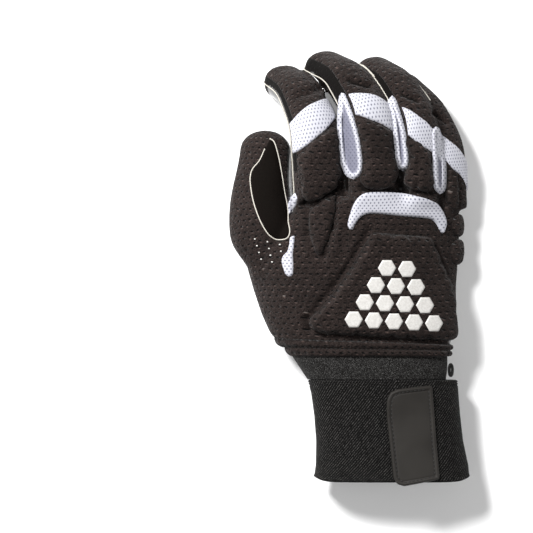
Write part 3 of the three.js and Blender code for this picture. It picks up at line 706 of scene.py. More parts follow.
# %% Punched cloth, plain dark cloth and white mesh
def punched_cloth():
    """Brown-black brushed cloth with small punched holes, a few of them painted pale as catching the light.
    Painted highlights sit just below the holes, and painted shade darkens the cloth at seams and in
    creases.
    """
    material, tree, shader = finish(
        "punched_cloth", 0.88, Sheen_Weight=0.06, Sheen_Roughness=0.4, Specular_IOR_Level=0.10)
    x, y = cloth_map(tree)
    place = object_place(tree)
    drift = noise(tree, place, 170, 1.0, 0.5)
    x = math_node(tree, "ADD", x, math_node(tree, "MULTIPLY", drift, 2.6))
    y = math_node(tree, "ADD", y, math_node(tree, "MULTIPLY", drift, -2.2))
    holes, chance = dot_rows(tree, x, y, 4.6, 3.4, 0.46, 0.2, stretch=2.1)
    fuzz = noise(tree, place, 1500, 4.0, 0.75)
    broad = noise(tree, place, 60, 3.0, 0.6)
    colour = blend_colour(
        tree, remap(tree, fuzz, 0.38, 0.66), (0.0075, 0.0050, 0.0044), (0.034, 0.0245, 0.0218))
    colour = blend_colour(tree, remap(tree, broad, 0.35, 0.7, 0.0, 0.35), colour, (0.006, 0.0042, 0.0037))
    # A few holes, picked by chance, are painted pale as painted highlights.
    inside = blend_colour(
        tree, remap(tree, chance, 0.98, 0.995), (0.0015, 0.0012, 0.001), (0.13, 0.11, 0.10))
    # Painted highlight: a pale crescent just below each punched hole, on some holes by chance.
    rim, other = dot_rows(tree, x, math_node(tree, "ADD", y, 0.8), 4.6, 3.4, 0.34, 0.25, stretch=2.0)
    painted_hole_highlight = math_node(tree, "MULTIPLY", rim, remap(tree, other, 0.45, 0.6, 0.1, 0.55))
    colour = blend_colour(tree, painted_hole_highlight, colour, (0.105, 0.072, 0.063))
    colour = blend_colour(tree, holes, colour, inside)
    flank_value = layer_value(tree, "flank")
    flat = remap(tree, flank_value, 0.35, 0.65)
    colour = blend_colour(tree, flat, colour, (0.0022, 0.0017, 0.0014))
    # Painted shade: the cloth darkens within about 1.5 mm of a piece's sewn edge, where it dips in.
    painted_seam_shade = remap(tree, layer_value(tree, "inward"), 0.1, 1.5, 0.7, 0.0)
    colour = blend_colour(tree, painted_seam_shade, colour, (0.003, 0.0022, 0.002))
    # Painted shade: the cloth darkens in the grooves pressed into the skin.
    painted_crease_shade = remap(tree, layer_value(tree, "crease"), 0.15, 0.9, 0.0, 0.85)
    colour = blend_colour(tree, painted_crease_shade, colour, (0.0018, 0.0014, 0.0012))
    link(tree, colour, shader.inputs["Base Color"])
    pucker = noise(tree, place, 230, 2.0, 0.55)
    relief = math_node(tree, "SUBTRACT", math_node(tree, "MULTIPLY", fuzz, 0.45), holes)
    relief = math_node(tree, "ADD", relief, math_node(tree, "MULTIPLY", pucker, 2.2))
    relief = math_node(tree, "MULTIPLY", relief, remap(tree, flank_value, 0.35, 0.65, 1.0, 0.12))
    bump(tree, shader, relief, 1.0, 1.0)
    return material


def plain_cloth():
    """Near-black smooth stretch cloth on the flanks of the fingers."""
    material, tree, shader = finish("plain_cloth", 0.85, Specular_IOR_Level=0.04)
    place = object_place(tree)
    fine = noise(tree, place, 3200, 2.0, 0.6)
    colour = blend_colour(
        tree, remap(tree, fine, 0.3, 0.7), (0.0022, 0.0016, 0.0013), (0.006, 0.0045, 0.0036))
    link(tree, colour, shader.inputs["Base Color"])
    bump(tree, shader, fine, 0.25, 0.2)
    return material


def white_mesh():
    """White mesh with small blue-grey holes, and painted shade that greys it where it dips inwards."""
    material, tree, shader = finish("white_mesh", 0.7, Sheen_Weight=0.1)
    x, y = cloth_map(tree)
    holes = dot_rows(tree, x, y, 2.4, 1.7, 0.46, 0.14)[0]
    place = object_place(tree)
    fine = noise(tree, place, 2400, 2.0, 0.6)
    # Painted shade: the mesh greys where the web's channel dips in.
    base = blend_colour(tree, layer_value(tree, "dip"), (0.47, 0.47, 0.515), (0.12, 0.12, 0.165))
    base = blend_colour(tree, remap(tree, fine, 0.35, 0.7, 0.0, 0.25), base, (0.33, 0.335, 0.39))
    colour = blend_colour(tree, math_node(tree, "MULTIPLY", holes, 0.85), base, (0.07, 0.075, 0.115))
    link(tree, colour, shader.inputs["Base Color"])
    relief = math_node(tree, "SUBTRACT", math_node(tree, "MULTIPLY", fine, 0.25), holes)
    bump(tree, shader, relief, 0.5, 0.35)
    return material


PUNCHED = punched_cloth()
PLAIN = plain_cloth()
MESH = white_mesh()
print("cloth finishes ready")


# %% Leathers
def patent_leather():
    """Wet-looking black grip leather with shallow creases."""
    material, tree, shader = finish("patent_leather", 0.16, Coat_Weight=0.6, Coat_Roughness=0.05)
    shader.inputs["Base Color"].default_value = (0.0035, 0.0028, 0.0024, 1)
    place = object_place(tree)
    folds = noise(tree, place, 34, 1.5, 0.5)
    small = noise(tree, place, 170, 1.0, 0.5)
    relief = math_node(tree, "ADD", folds, math_node(tree, "MULTIPLY", small, 0.05))
    bump(tree, shader, relief, 0.8, 6.0)
    return material


def heel_leather():
    """Dull olive-black embossed leather."""
    material, tree, shader = finish("heel_leather", 0.46)
    place = object_place(tree)
    grain = tree.nodes.new("ShaderNodeTexVoronoi")
    grain.inputs["Scale"].default_value = 1300
    link(tree, place, grain.inputs["Vector"])
    broad = noise(tree, place, 50, 3.0, 0.6)
    colour = blend_colour(tree, remap(tree, broad, 0.35, 0.7), (0.024, 0.022, 0.015), (0.050, 0.046, 0.034))
    link(tree, colour, shader.inputs["Base Color"])
    relief = math_node(tree, "ADD", math_node(tree, "MULTIPLY", grain.outputs["Distance"], 0.3), broad)
    bump(tree, shader, relief, 0.35, 0.5)
    return material


def piping_cord():
    """Off-white rolled piping with a fine twist."""
    material, tree, shader = finish("piping", 0.55)
    place = object_place(tree)
    fine = noise(tree, place, 1800, 2.0, 0.6)
    colour = blend_colour(tree, remap(tree, fine, 0.3, 0.7), (0.36, 0.335, 0.29), (0.55, 0.52, 0.46))
    link(tree, colour, shader.inputs["Base Color"])
    bump(tree, shader, fine, 0.3, 0.15)
    return material


PATENT = patent_leather()
HEEL = heel_leather()
PIPING = piping_cord()
print("leather finishes ready")


# %% Knit, elastic, tab, thread, print and label
def speckled_knit():
    """Charcoal knit with pale flecks in fine upright ribs."""
    material, tree, shader = finish("speckled_knit", 0.9, Sheen_Weight=0.02, Specular_IOR_Level=0.08)
    x, y = cloth_map(tree)
    place = object_place(tree)
    flecks = noise(tree, place, 2300, 1.0, 0.9)
    rib = math_node(tree, "SINE", math_node(tree, "MULTIPLY", x, 2 * math.pi / 1.3))
    colour = blend_colour(
        tree, remap(tree, flecks, 0.52, 0.68), (0.005, 0.0046, 0.0043), (0.095, 0.093, 0.09))
    link(tree, colour, shader.inputs["Base Color"])
    relief = math_node(tree, "ADD", math_node(tree, "MULTIPLY", rib, 0.3), flecks)
    bump(tree, shader, relief, 0.6, 0.35)
    return material


def ribbed_elastic():
    """Woven elastic with slanted ribs that catch the light in short dashes."""
    material, tree, shader = finish("ribbed_elastic", 0.85, Sheen_Weight=0.02, Specular_IOR_Level=0.08)
    x, y = cloth_map(tree)
    place = object_place(tree)
    across = math_node(tree, "MULTIPLY", x, 0.75)
    slant = math_node(tree, "ADD", across, math_node(tree, "MULTIPLY", y, -0.66))
    ribs = math_node(tree, "SINE", math_node(tree, "MULTIPLY", slant, 2 * math.pi / 1.3))
    fleck = noise(tree, place, 1900, 2.0, 0.75)
    ridge = remap(tree, ribs, -0.2, 1.0)
    broken = math_node(tree, "MULTIPLY", ridge, remap(tree, fleck, 0.47, 0.60))
    colour = blend_colour(tree, broken, (0.0016, 0.0015, 0.0014), (0.075, 0.072, 0.068))
    link(tree, colour, shader.inputs["Base Color"])
    relief = math_node(tree, "ADD", ridge, math_node(tree, "MULTIPLY", fleck, 0.4))
    bump(tree, shader, relief, 0.6, 0.45)
    return material


def moulded_tab():
    """Warm dark grey moulded tab with a very fine grain."""
    material, tree, shader = finish("moulded_tab", 0.55, Specular_IOR_Level=0.16)
    place = object_place(tree)
    grain = noise(tree, place, 2500, 2.0, 0.7)
    broad = noise(tree, place, 40, 2.0, 0.5)
    colour = blend_colour(
        tree, remap(tree, broad, 0.3, 0.7), (0.017, 0.0152, 0.0135), (0.024, 0.0218, 0.0195))
    link(tree, colour, shader.inputs["Base Color"])
    bump(tree, shader, grain, 0.3, 0.12)
    return material


def plain_finish(name, rough, dark, pale, scale=1500, strength=0.25):
    """A plain colour with a little variation and relief."""
    material, tree, shader = finish(name, rough)
    place = object_place(tree)
    fine = noise(tree, place, scale, 2.0, 0.6)
    colour = blend_colour(tree, remap(tree, fine, 0.3, 0.7), dark, pale)
    link(tree, colour, shader.inputs["Base Color"])
    bump(tree, shader, fine, strength, 0.2)
    return material


KNIT = speckled_knit()
ELASTIC = ribbed_elastic()
TAB = moulded_tab()
THREAD = plain_finish("dark_thread", 0.6, (0.0015, 0.0012, 0.001), (0.006, 0.005, 0.0045))
# This pale finish serves the honeycomb print and the painted highlights of the bright thumb holes.
PALE_PRINT_AND_HIGHLIGHT = plain_finish("pale_print_and_highlight", 0.5, (0.50, 0.485, 0.46), (0.60, 0.585, 0.56), 900, 0.15)
LABEL_DARK = plain_finish("label_cloth", 0.7, (0.006, 0.006, 0.006), (0.014, 0.014, 0.014), 1800)
LABEL_PALE = plain_finish("label_print", 0.7, (0.55, 0.54, 0.56), (0.70, 0.69, 0.72), 1800)
print("all finishes ready")

# %% [markdown]
# ## Cutting the skin into its panels
# The back of the hand is punched cloth and the palm is patent leather. Each point of the
# skin is given to the form that it lies nearest to, and to its back or its palm side.
# The panels keep the skin's own smooth directions, so no seam shows where two
# pieces of the same cloth meet, and each gets an inner wall, because the glove is hollow.


# %% Which part of the form each point belongs to
def hand_fit(points):
    """How far out a point is in the hand's section, 1 on the skin, and its height share."""
    at = (points[:, 1] - MIDDLE[1] - WRIST_Y) / HAND_LENGTH
    section = hand_section(np.clip(at, -0.02, 1.0))
    w = (points[:, 0] - section["x"]) / section["half_width"]
    bounded = section["x"] + np.clip(w, -1, 1) * section["half_width"]
    h = (points[:, 2] - middle_height(section, bounded)) / section["half_height"]
    fit = (np.abs(w) ** 2.6 + np.abs(h) ** 2.6) ** (1 / 2.6)
    return fit + np.clip(at - 1, 0, None) * 8, at, w, h


def tube_fit(tube, points):
    """The same for a tube, with the place along it and the angle round it."""
    best = np.full(len(points), np.inf)
    index = np.zeros(len(points), int)
    for n, centre in enumerate(tube["centre"]):
        away = ((points - centre) ** 2).sum(1)
        closer = away < best
        best[closer] = away[closer]
        index[closer] = n
    step = points - tube["centre"][index]
    a = (step * tube["across"][index]).sum(1)
    b = (step * tube["top"][index]).sum(1)
    c = (step * tube["ahead"][index]).sum(1)
    s = tube["s"][index] + c
    half_width, half_height, square = tube_sizes(tube, np.clip(s, 0, tube["total"]))
    beyond = np.clip(s - tube["total"], 0, None) / tube["tip"]
    fit = (np.abs(a / half_width) ** 2.4 + np.abs(b / half_height) ** 2.4 + beyond**2.4) ** (1 / 2.4)
    fit = fit + np.clip(-s, 0, None) / 6
    return fit, s, np.degrees(np.arctan2(b / half_height, a / half_width)) % 360, half_width


part_names = ["hand"] + list(tubes)
fits = [hand_fit(skin_points)]
fits += [tube_fit(tube, skin_points) for tube in tubes.values()]
part = np.argmin(np.stack([f[0] for f in fits]), axis=0)
print({name: int((part == k).sum()) for k, name in enumerate(part_names)})

# %% Sides, maps and panels
bands = {"index": 0.57, "middle": 0.64, "ring": 0.56, "little": 0.42}
panel = np.full(len(skin_points), -1)
# The map runs round the form in true length, so that holes keep their form on its steep sides.
RIM_WIDE = 60
RIM_HIGH = 22
TOP_STEP = 540   # the step of the turn that is the middle of the back
turn = np.linspace(-np.pi, np.pi, 721)
rim = np.stack([RIM_WIDE * signed_power(np.cos(turn), 2 / 2.6),
                RIM_HIGH * signed_power(np.sin(turn), 2 / 2.6)], -1)
girth = run_along(rim)
phase = np.arctan2(signed_power(fits[0][3], 1.3), signed_power(fits[0][2], 1.3))
half_width = hand_section(np.clip(fits[0][1], -0.02, 1.0))["half_width"]
round_form = np.interp(phase, turn, girth - girth[TOP_STEP]) * half_width / RIM_WIDE
weave = np.stack([-round_form, skin_points[:, 1]], -1)
panel_names = []
flank = np.zeros(len(skin_points))
flank_from = {"index": 150, "middle": 134, "ring": 138, "little": 140}


def add_panel(name, members):
    """Marks the points of one panel."""
    panel_names.append(name)
    panel[members] = len(panel_names) - 1


hand = part == 0
add_panel("back_panel", hand & (fits[0][3] >= 0))
add_panel("palm_panel", hand & (fits[0][3] < 0))
for k, name in enumerate(part_names[1:], 1):
    fit, s, angle, half_width = fits[k]
    mine = part == k
    back = (angle > 8) & (angle < 172)
    tube = tubes[name]
    weave[mine] = np.stack([-np.radians((angle + 90) % 360 - 180) * half_width * 1.08, s], -1)[mine]
    if name == "thumb":
        add_panel("thumb_back", mine & back)
        add_panel("thumb_front", mine & ~back)
    else:
        cap = s > tube["total"] - 0.25 * tube["tip"]
        far = s > bands[name] * FINGER_LENGTH
        edge = ease((angle - flank_from[name]) / 5) * ease((s - 0.2 * tube["total"]) / 3) * (angle < 200)
        flank[mine] = edge[mine]
        add_panel(name + "_back", mine & back & ~far)
        add_panel(name + "_tip", mine & ((back & far) | cap))
        add_panel(name + "_front", mine & ~back & ~cap)
print(len(panel_names), "panels")


def cut_panel(index, wall=1.2):
    """One panel of the skin, with an inner wall and a rim, and its smooth directions kept."""
    votes = (panel[skin_faces] == index).sum(1)
    lowest = panel[skin_faces].min(1)
    mine = (votes >= 3) | ((votes == 2) & (lowest == index))
    wrist = skin_points[skin_faces][..., 1].mean(1) < WRIST_Y + 0.2
    flat = np.abs(skin_normals[skin_faces][..., 1].mean(1)) > 0.7
    faces = skin_faces[mine & ~(wrist & flat)]
    used, faces = np.unique(faces, return_inverse=True)
    faces = faces.reshape(-1, 4)
    outer, normal = skin_points[used], skin_normals[used]
    count = len(used)
    pairs = np.concatenate([faces[:, [k, (k + 1) % 4]] for k in range(4)])
    keys = set(map(tuple, pairs.tolist()))
    rim = [pair for pair in keys if pair[::-1] not in keys]
    rims = [[b, a, a + count, b + count] for a, b in rim]
    everything = faces.tolist() + (faces[:, ::-1] + count).tolist() + rims
    points = np.concatenate([outer, outer - normal * wall])
    piece = make_object(panel_names[index] + "_cloth", points, everything,
                        np.concatenate([weave[used]] * 2), {"inward": np.full(2 * count, 9.0)})
    for key, value in (("flank", flank), ("crease", crease)):
        layer = piece.data.attributes.new(key, "FLOAT", "POINT")
        layer.data.foreach_set("value", np.tile(value[used], 2).astype(np.float32))
    directions = np.concatenate([normal, -normal])
    piece.data.normals_split_custom_set_from_vertices(directions.tolist())
    return piece


panels = {}
for index, name in enumerate(panel_names):
    panels[name] = cut_panel(index)
    leather = name.endswith("_front") or name == "palm_panel"
    wear(panels[name], PATENT if leather else PUNCHED, "grip_leather" if leather else "fabric", name)
print("panels cut:", len(panels))

# %% [markdown]
# ## Building a sewn piece
# Three ways of laying a piece are needed: inside an outline, between two edge lines, and
# on a tube between two places along it. All three end in the same step, which lifts the
# grid off the cloth and closes it with a skirt or a back, so that it has a real thickness.


# %% Closing a lifted grid
def border_of(rows, columns):
    """Numbers of the points round the outside of a grid, in order."""
    return np.concatenate([
        np.arange(columns),
        np.arange(1, rows) * columns + columns - 1,
        (rows - 1) * columns + np.arange(columns - 2, -1, -1),
        np.arange(rows - 2, 0, -1) * columns,
    ])


def evened(values, rounds, ring):
    """A grid of values averaged with its neighbours, round by round."""
    for step in range(rounds):
        if ring:
            side = (np.roll(values, 1, 1) + np.roll(values, -1, 1)) / 2
            values = 0.5 * values + 0.5 * side
        else:
            values[:, 1:-1] = 0.5 * values[:, 1:-1] + 0.25 * (values[:, :-2] + values[:, 2:])
        values[1:-1] = 0.5 * values[1:-1] + 0.25 * (values[:-2] + values[2:])
    return values


def raised_grid(name, spots, normals, rise, cloth, inward, sink=0.5, ring=False, values=None, even=0,
                soft_cloth=False):
    """A grid lifted by rise off its spots, with a back that lies sink below them."""
    rows, columns = rise.shape
    if even:
        spots, normals = spots.copy(), evened(normals.copy(), even, ring)
        spots[..., 2] = evened(spots[..., 2], even, ring)
    outer = spots + normals * rise[..., None]
    if soft_cloth:
        move = settled(outer, ring)
        outer = outer + move
        print(name, "settled by up to", round(float(np.abs(move).max()), 2), "mm")
    outer = outer.reshape(-1, 3)
    inner = (spots - normals * sink).reshape(-1, 3)
    count = len(outer)
    faces = grid_faces(rows, columns, ring)
    parts = [faces, faces[:, ::-1] + count]
    if ring:
        border = np.arange((rows - 1) * columns, rows * columns)
    else:
        border = border_of(rows, columns)
    following = np.roll(border, -1)
    parts.append(np.stack([following, border, border + count, following + count], -1))
    everything = np.concatenate(parts).tolist()
    points = np.concatenate([outer, inner])
    layers = {"inward": np.concatenate([inward.ravel()] * 2)}
    for key, value in (values or {}).items():
        layers[key] = np.concatenate([value.ravel()] * 2)
    cloth = np.concatenate([cloth.reshape(-1, 2)] * 2)
    if ring:
        for first in (0, count):
            hub = len(points)
            points = np.concatenate([points, points[first:first + columns].mean(0)[None]])
            cloth = np.concatenate([cloth, cloth[first:first + columns].mean(0)[None]])
            layers = {k: np.append(v, v[first]) for k, v in layers.items()}
            everything += [[hub, first + (j + 1) % columns, first + j] for j in range(columns)]
    piece = make_object(name, points, everything, cloth, layers)
    return face_outward(piece)


def puffed(height, width, base=0.0, dents=(), seam=0.0, drawing=None):
    """Pillow height from the edge distance, less soft dents along drawn lines."""
    def rise(grid, distance):
        h = base * ease(distance / 0.5) + pillow(distance, height, width)
        h = h - seam * np.exp(-((distance - 1.5) / 0.55) ** 2)
        for line, depth, reach in dents:
            away = distance_to_line(grid, smooth_line((drawing or plan)(line), 60))
            h = h - depth * np.exp(-(away / reach) ** 2) * ease(distance / 2.5)
        return h
    return rise


def rounded_outline(points, count=160, soft=3.0):
    """A closed outline with even spacing, its corners rounded over a length in millimetres."""
    p = np.array(points, float)
    p = np.concatenate([p, p[:1]])
    run = run_along(p)
    at = np.linspace(0, run[-1], count, endpoint=False)
    line = np.stack([np.interp(at, run, p[:, k]) for k in (0, 1)], 1)
    reach = max(1, int(soft / (run[-1] / count)))
    kernel = np.hanning(2 * reach + 3)[1:-1]
    kernel /= kernel.sum()
    return np.stack([
        np.convolve(np.concatenate([line[-reach:, k], line[:, k], line[:reach, k]]), kernel, "valid")
        for k in (0, 1)], 1)


def outline_grid(edge, rings, first=0.03, spread=0.62):
    """Rings of points from an outline's middle out to it, and how far each is from it."""
    middle = edge.mean(0)
    share = np.linspace(first, 1, rings)[:, None, None] ** spread
    grid = middle + (edge[None] - middle) * share
    return grid, distance_to_line(grid, np.concatenate([edge, edge[:1]]))


def ribbon_grid(left, right, along, across):
    """Rows of points from one edge line to the other, and how far each is from the edges."""
    a, b = smooth_line(left, along), smooth_line(right, along)
    share = np.linspace(0, 1, across)[None, :, None]
    grid = a[:, None] * (1 - share) + b[:, None] * share
    return grid, distance_to_line(grid, np.concatenate([a, b[::-1], a[:1]]))


def outline_piece(name, ground, outline, rise, below=False, rings=26, count=160, soft=3.0, sink=0.6,
                  **options):
    """A piece inside an outline."""
    grid, distance = outline_grid(rounded_outline(outline, count, soft), rings)
    spots, normals = lay_on(ground, grid, below)
    return raised_grid(name, spots, normals, rise(grid, distance), grid, distance, sink, True, **options)


def ribbon_piece(name, ground, left, right, rise, along=110, across=18, below=False, sink=0.6, even=0):
    """A piece between two edge lines."""
    grid, distance = ribbon_grid(left, right, along, across)
    spots, normals = lay_on(ground, grid, below)
    return raised_grid(name, spots, normals, rise(grid, distance), grid, distance, sink, even=even)


print("piece builders ready")


# %% [markdown]
# ## Letting the padded cloth settle
# Cloth over foam is not a perfect pillow: it is cut a little large, so it swells and
# puckers near its seam. Each pad's cloth is therefore simulated once. A coarser copy, fifty
# times larger so that the solver works in comfortable sizes, is pinned along its seam and blown
# up gently, and the moves that it makes are carried over to the fine pad.


# %% Cloth simulation of a pad
def resample(values, rows, columns, ring):
    """A coarse grid of values read at more places, in straight lines between them."""
    if ring:
        values = np.concatenate([values, values[:, :1]], 1)
    down = np.linspace(0, values.shape[0] - 1, rows)
    right = np.linspace(0, values.shape[1] - 1, columns + 1)[:-1] if ring else np.linspace(
        0, values.shape[1] - 1, columns)
    i = np.minimum(down.astype(int), values.shape[0] - 2)
    j = np.minimum(right.astype(int), values.shape[1] - 2)
    a, b = (down - i)[:, None, None], (right - j)[None, :, None]
    upper = values[i][:, j] * (1 - b) + values[i][:, j + 1] * b
    lower = values[i + 1][:, j] * (1 - b) + values[i + 1][:, j + 1] * b
    return upper * (1 - a) + lower * a


def settled(points, ring, reach=1.3, frames=14, spare=0.07, pressure=3.0):
    """Moves of a pad's cloth: its copy is pinned at the seam, cut larger by the spare share,
    and blown up. No point may move more than reach, in millimetres."""
    rows, columns = points.shape[:2]
    fewer = (max(10, rows // 2), max(24, columns // 3))
    coarse = resample(points, *fewer, ring)
    flat = coarse.reshape(-1, 3)
    mesh = bpy.data.meshes.new("cloth_copy")
    mesh.from_pydata((flat * 0.05).tolist(), [], grid_faces(*fewer, ring).tolist())
    copy = bpy.data.objects.new("cloth_copy", mesh)
    bpy.context.scene.collection.objects.link(copy)
    seam = np.arange(len(flat) - fewer[1], len(flat)) if ring else border_of(*fewer)
    copy.vertex_groups.new(name="seam").add(seam.tolist(), 1.0, "REPLACE")
    cloth = copy.modifiers.new("cloth", "CLOTH").settings
    cloth.vertex_group_mass = "seam"
    cloth.effector_weights.gravity = 0
    cloth.use_pressure = True
    cloth.uniform_pressure_force = pressure
    cloth.shrink_min = -spare
    cloth.bending_stiffness = 0.6
    for frame_number in range(1, frames + 1):
        bpy.context.scene.frame_set(frame_number)
    blown = copy.evaluated_get(bpy.context.evaluated_depsgraph_get()).to_mesh()
    after = np.empty(len(flat) * 3)
    blown.vertices.foreach_get("co", after)
    copy.evaluated_get(bpy.context.evaluated_depsgraph_get()).to_mesh_clear()
    bpy.data.objects.remove(copy)
    bpy.context.scene.frame_set(1)
    move = (after.reshape(-1, 3) / 0.05 - flat).reshape(coarse.shape)
    length = np.linalg.norm(move, axis=2, keepdims=True)
    move = move * np.minimum(1, reach / np.maximum(length, 1e-9))
    return resample(move, rows, columns, ring)


# %% Cords and stitches
def cord_mesh(path, radius, sides=8, closed=False):
    """Points and faces of a round cord along a path, turned as little as possible."""
    path = np.asarray(path, float)
    step = np.roll(path, -1, 0) - np.roll(path, 1, 0)
    if not closed:
        step[0], step[-1] = path[1] - path[0], path[-1] - path[-2]
    step /= np.maximum(np.linalg.norm(step, axis=1, keepdims=True), 1e-9)
    guide = np.tile(np.array([0.13, 0.21, 1.0]), (len(path), 1))
    side = np.cross(step, guide)
    side /= np.maximum(np.linalg.norm(side, axis=1, keepdims=True), 1e-9)
    upper = np.cross(side, step)
    turn = np.linspace(0, 2 * np.pi, sides, endpoint=False)[None, :, None]
    points = path[:, None] + radius * (np.cos(turn) * side[:, None] + np.sin(turn) * upper[:, None])
    faces = grid_faces(len(path), sides, True).tolist()
    last = (len(path) - 1) * sides
    if closed:
        faces += [[last + j, last + (j + 1) % sides, (j + 1) % sides, j] for j in range(sides)]
    else:
        faces += [list(range(sides))[::-1], [last + j for j in range(sides)]]
    return points.reshape(-1, 3), faces


def cords(name, paths, radius, closed=False, sides=8):
    """Several cords as one piece."""
    points, faces = joined([cord_mesh(path, radius, sides, closed) for path in paths])
    return face_outward(make_object(name, points, faces, points[:, :2]))


def stitches(name, lines, length=1.5, gap=0.9, radius=0.26):
    """Rows of short thread stitches along lines of points and directions, as one piece."""
    ring = np.array([(-0.5, 0.2), (-0.3, 0.9), (0.0, 1.0), (0.3, 0.9), (0.5, 0.2)])
    turn = np.linspace(0, 2 * np.pi, 6, endpoint=False)
    parts = []
    for path, normals in lines:
        run = run_along(path)
        at = np.arange(gap, run[-1] - length, length + gap)
        place, away = (
            np.stack([np.interp(at, run, v[:, k]) for k in range(3)], 1) for v in (path, normals))
        ahead = np.stack([np.interp(at + 0.3, run, path[:, k]) for k in range(3)], 1) - place
        ahead /= np.maximum(np.linalg.norm(ahead, axis=1, keepdims=True), 1e-9)
        side = np.cross(ahead, away)
        along = ahead[:, None, None] * (ring[:, 0] * length)[None, :, None, None]
        girth = (ring[:, 1] * radius)[None, :, None, None]
        round_it = np.cos(turn)[None, None, :, None] * side[:, None, None] + np.sin(turn)[
            None, None, :, None] * away[:, None, None]
        parts.append((place[:, None, None] + along + girth * round_it).reshape(-1, 3))
    points = np.concatenate(parts)
    one = grid_faces(5, 6, True)
    caps = [[5, 4, 3, 2, 1, 0], [24, 25, 26, 27, 28, 29]]
    faces = []
    for base in range(0, len(points), 30):
        faces += (one + base).tolist() + [[k + base for k in cap] for cap in caps]
    return make_object(name, points, faces, points[:, :2])


def line_on(ground, line, lift, count=120, below=False):
    """A drawn line laid on a surface, lifted a little, with the surface's directions."""
    flat = smooth_line(line, count)
    spots, normals = lay_on(ground, flat, below)
    return spots + normals * lift, normals


def surface_of(piece):
    """The surface of a finished piece, for laying others on it."""
    points = np.empty(len(piece.data.vertices) * 3)
    piece.data.vertices.foreach_get("co", points)
    points = points.reshape(-1, 3) / MM
    faces = [list(p.vertices) for p in piece.data.polygons if len(p.vertices) in (3, 4)]
    padded = np.array([f if len(f) == 4 else [f[0], f[1], f[2], f[2]] for f in faces])
    tree = BVHTree.FromPolygons([Vector(p) for p in points], faces)
    return {"tree": tree, "points": points, "faces": padded, "normals": point_normals(points, padded)}


print("cords and stitches ready")

# %% [markdown]
# ## Pads on the back
# Each pad is foam under punched cloth, sewn down along its outline. It rises fast at the
# seam and is almost level in the middle. Creases that the fingers' bending leaves in
# the pads are pressed in along drawn lines.

# %% Pads over the knuckles
knuckle_pads = {
    "index": [(297, 158), (308, 144.5), (321, 134.5), (334, 126.5), (338, 142), (339, 158),
              (340, 176), (335, 187), (322, 196), (308, 201), (302, 196), (299, 178)],
    "middle": [(354, 119), (369, 121.5), (381, 127), (389, 132), (391, 146), (394, 160), (396, 174),
               (391, 185), (378, 189), (366, 188), (359, 182), (361, 160), (358, 140)],
    "ring": [(406, 139), (418, 143), (429, 154), (431, 168), (433, 184), (427, 191), (413, 190),
             (405, 184), (406, 170), (408, 157), (405, 146)],
    "little": [(446.5, 163), (456.5, 174), (458.5, 190), (458.5, 204), (454, 210), (447, 206),
               (444, 196), (446, 182)],
}
pad_dents = {
    "index": (),
    "middle": (),
    "ring": (([(416, 156), (416, 172), (415, 188)], 1.3, 1.5),),
    "little": (([(450, 176), (452, 190), (452, 204)], 0.7, 1.6),),
}
tops = {}
for name, outline in knuckle_pads.items():
    rise = puffed(2.8 if name == "little" else 4.4, 8.0, 0.1, pad_dents[name], 0.2)
    tops[name] = outline_piece(f"{name}_knuckle_pad", skin, plan(outline), rise, soft_cloth=True)
    wear(tops[name], PUNCHED, "fabric", f"{name}_pad", pad=0.9)
print("knuckle pads:", len(tops))

# %% Plate, leaf and side pads
plate_outline = [(371, 232.6), (428.6, 237), (436.6, 252), (450.4, 284), (453.9, 300), (454.5, 334),
                 (450, 339), (415, 338.5), (380, 337), (323, 332.5), (310, 325.6), (311, 318.7),
                 (328.7, 298), (348, 271.7)]
plate = outline_piece("padded_back_plate", skin, plan(plate_outline), puffed(4.8, 5.0, 0.1),
                      rings=38, count=240, soft=3.5, sink=2.0, even=20, soft_cloth=True)
wear(plate, PUNCHED, "fabric", "back_plate", pad=0.8)
leaf_outline = [(331, 194), (320, 201), (309, 210), (308, 221), (309.5, 235), (314.5, 252), (319, 257),
                (324, 250), (331, 228), (336, 210), (336, 199)]
leaf = outline_piece("leaf_pad", skin, plan(leaf_outline), puffed(3.6, 6.5, 0.1, (), 0.2), soft_cloth=True)
wear(leaf, PUNCHED, "fabric", "index_leaf_pad", pad=0.8)


SIDE_PAD_WIDTH = 34


def side_pad(name, top_y, bottom_y, height, node):
    """A bulge on the little-finger side, between two places along the hand."""
    v, u = np.meshgrid(np.linspace(0, 1, 40), np.linspace(0, 1, 48), indexing="ij")
    y = plan([0, top_y])[1] * (1 - v) + plan([0, bottom_y])[1] * v
    at = (y - MIDDLE[1] - WRIST_Y) / HAND_LENGTH
    reach = np.sqrt(np.clip(1 - (2 * v - 1) ** 2, 0, 1))
    angle = np.radians(-4 + (u - 0.5) * 66 * (0.45 + 0.55 * reach))
    spots, normals = snap_on(skin, hand_point(at, angle, 0.5))
    long = abs(plan([0, top_y])[1] - plan([0, bottom_y])[1])
    inward = np.minimum(np.minimum(v, 1 - v) * long, np.minimum(u, 1 - u) * SIDE_PAD_WIDTH)
    cloth = np.stack([u * SIDE_PAD_WIDTH, v * long], -1)
    piece = raised_grid(name, spots, normals, puffed(height, 8.5, 0.1)(None, inward), cloth, inward,
                        soft_cloth=True)
    return wear(piece, PUNCHED, "fabric", node, pad=0.85)


side_pad_rows = {
    "upper": {"top": 214, "bottom": 237, "height": 2.6},
    "lower": {"top": 239, "bottom": 265, "height": 3.0},
}
for name, row in side_pad_rows.items():
    side_pad(f"{name}_side_pad", row["top"], row["bottom"], row["height"], f"side_pad_{name}")
print("plate, leaf and side pads made")

# %% [markdown]
# ## White mesh
# Bands of open mesh cross the middle joint of every finger, and an arch of it lies
# behind the knuckles. Between two fingers a strip of mesh spans the web: its rims are
# raised, and the middle sinks into a channel.

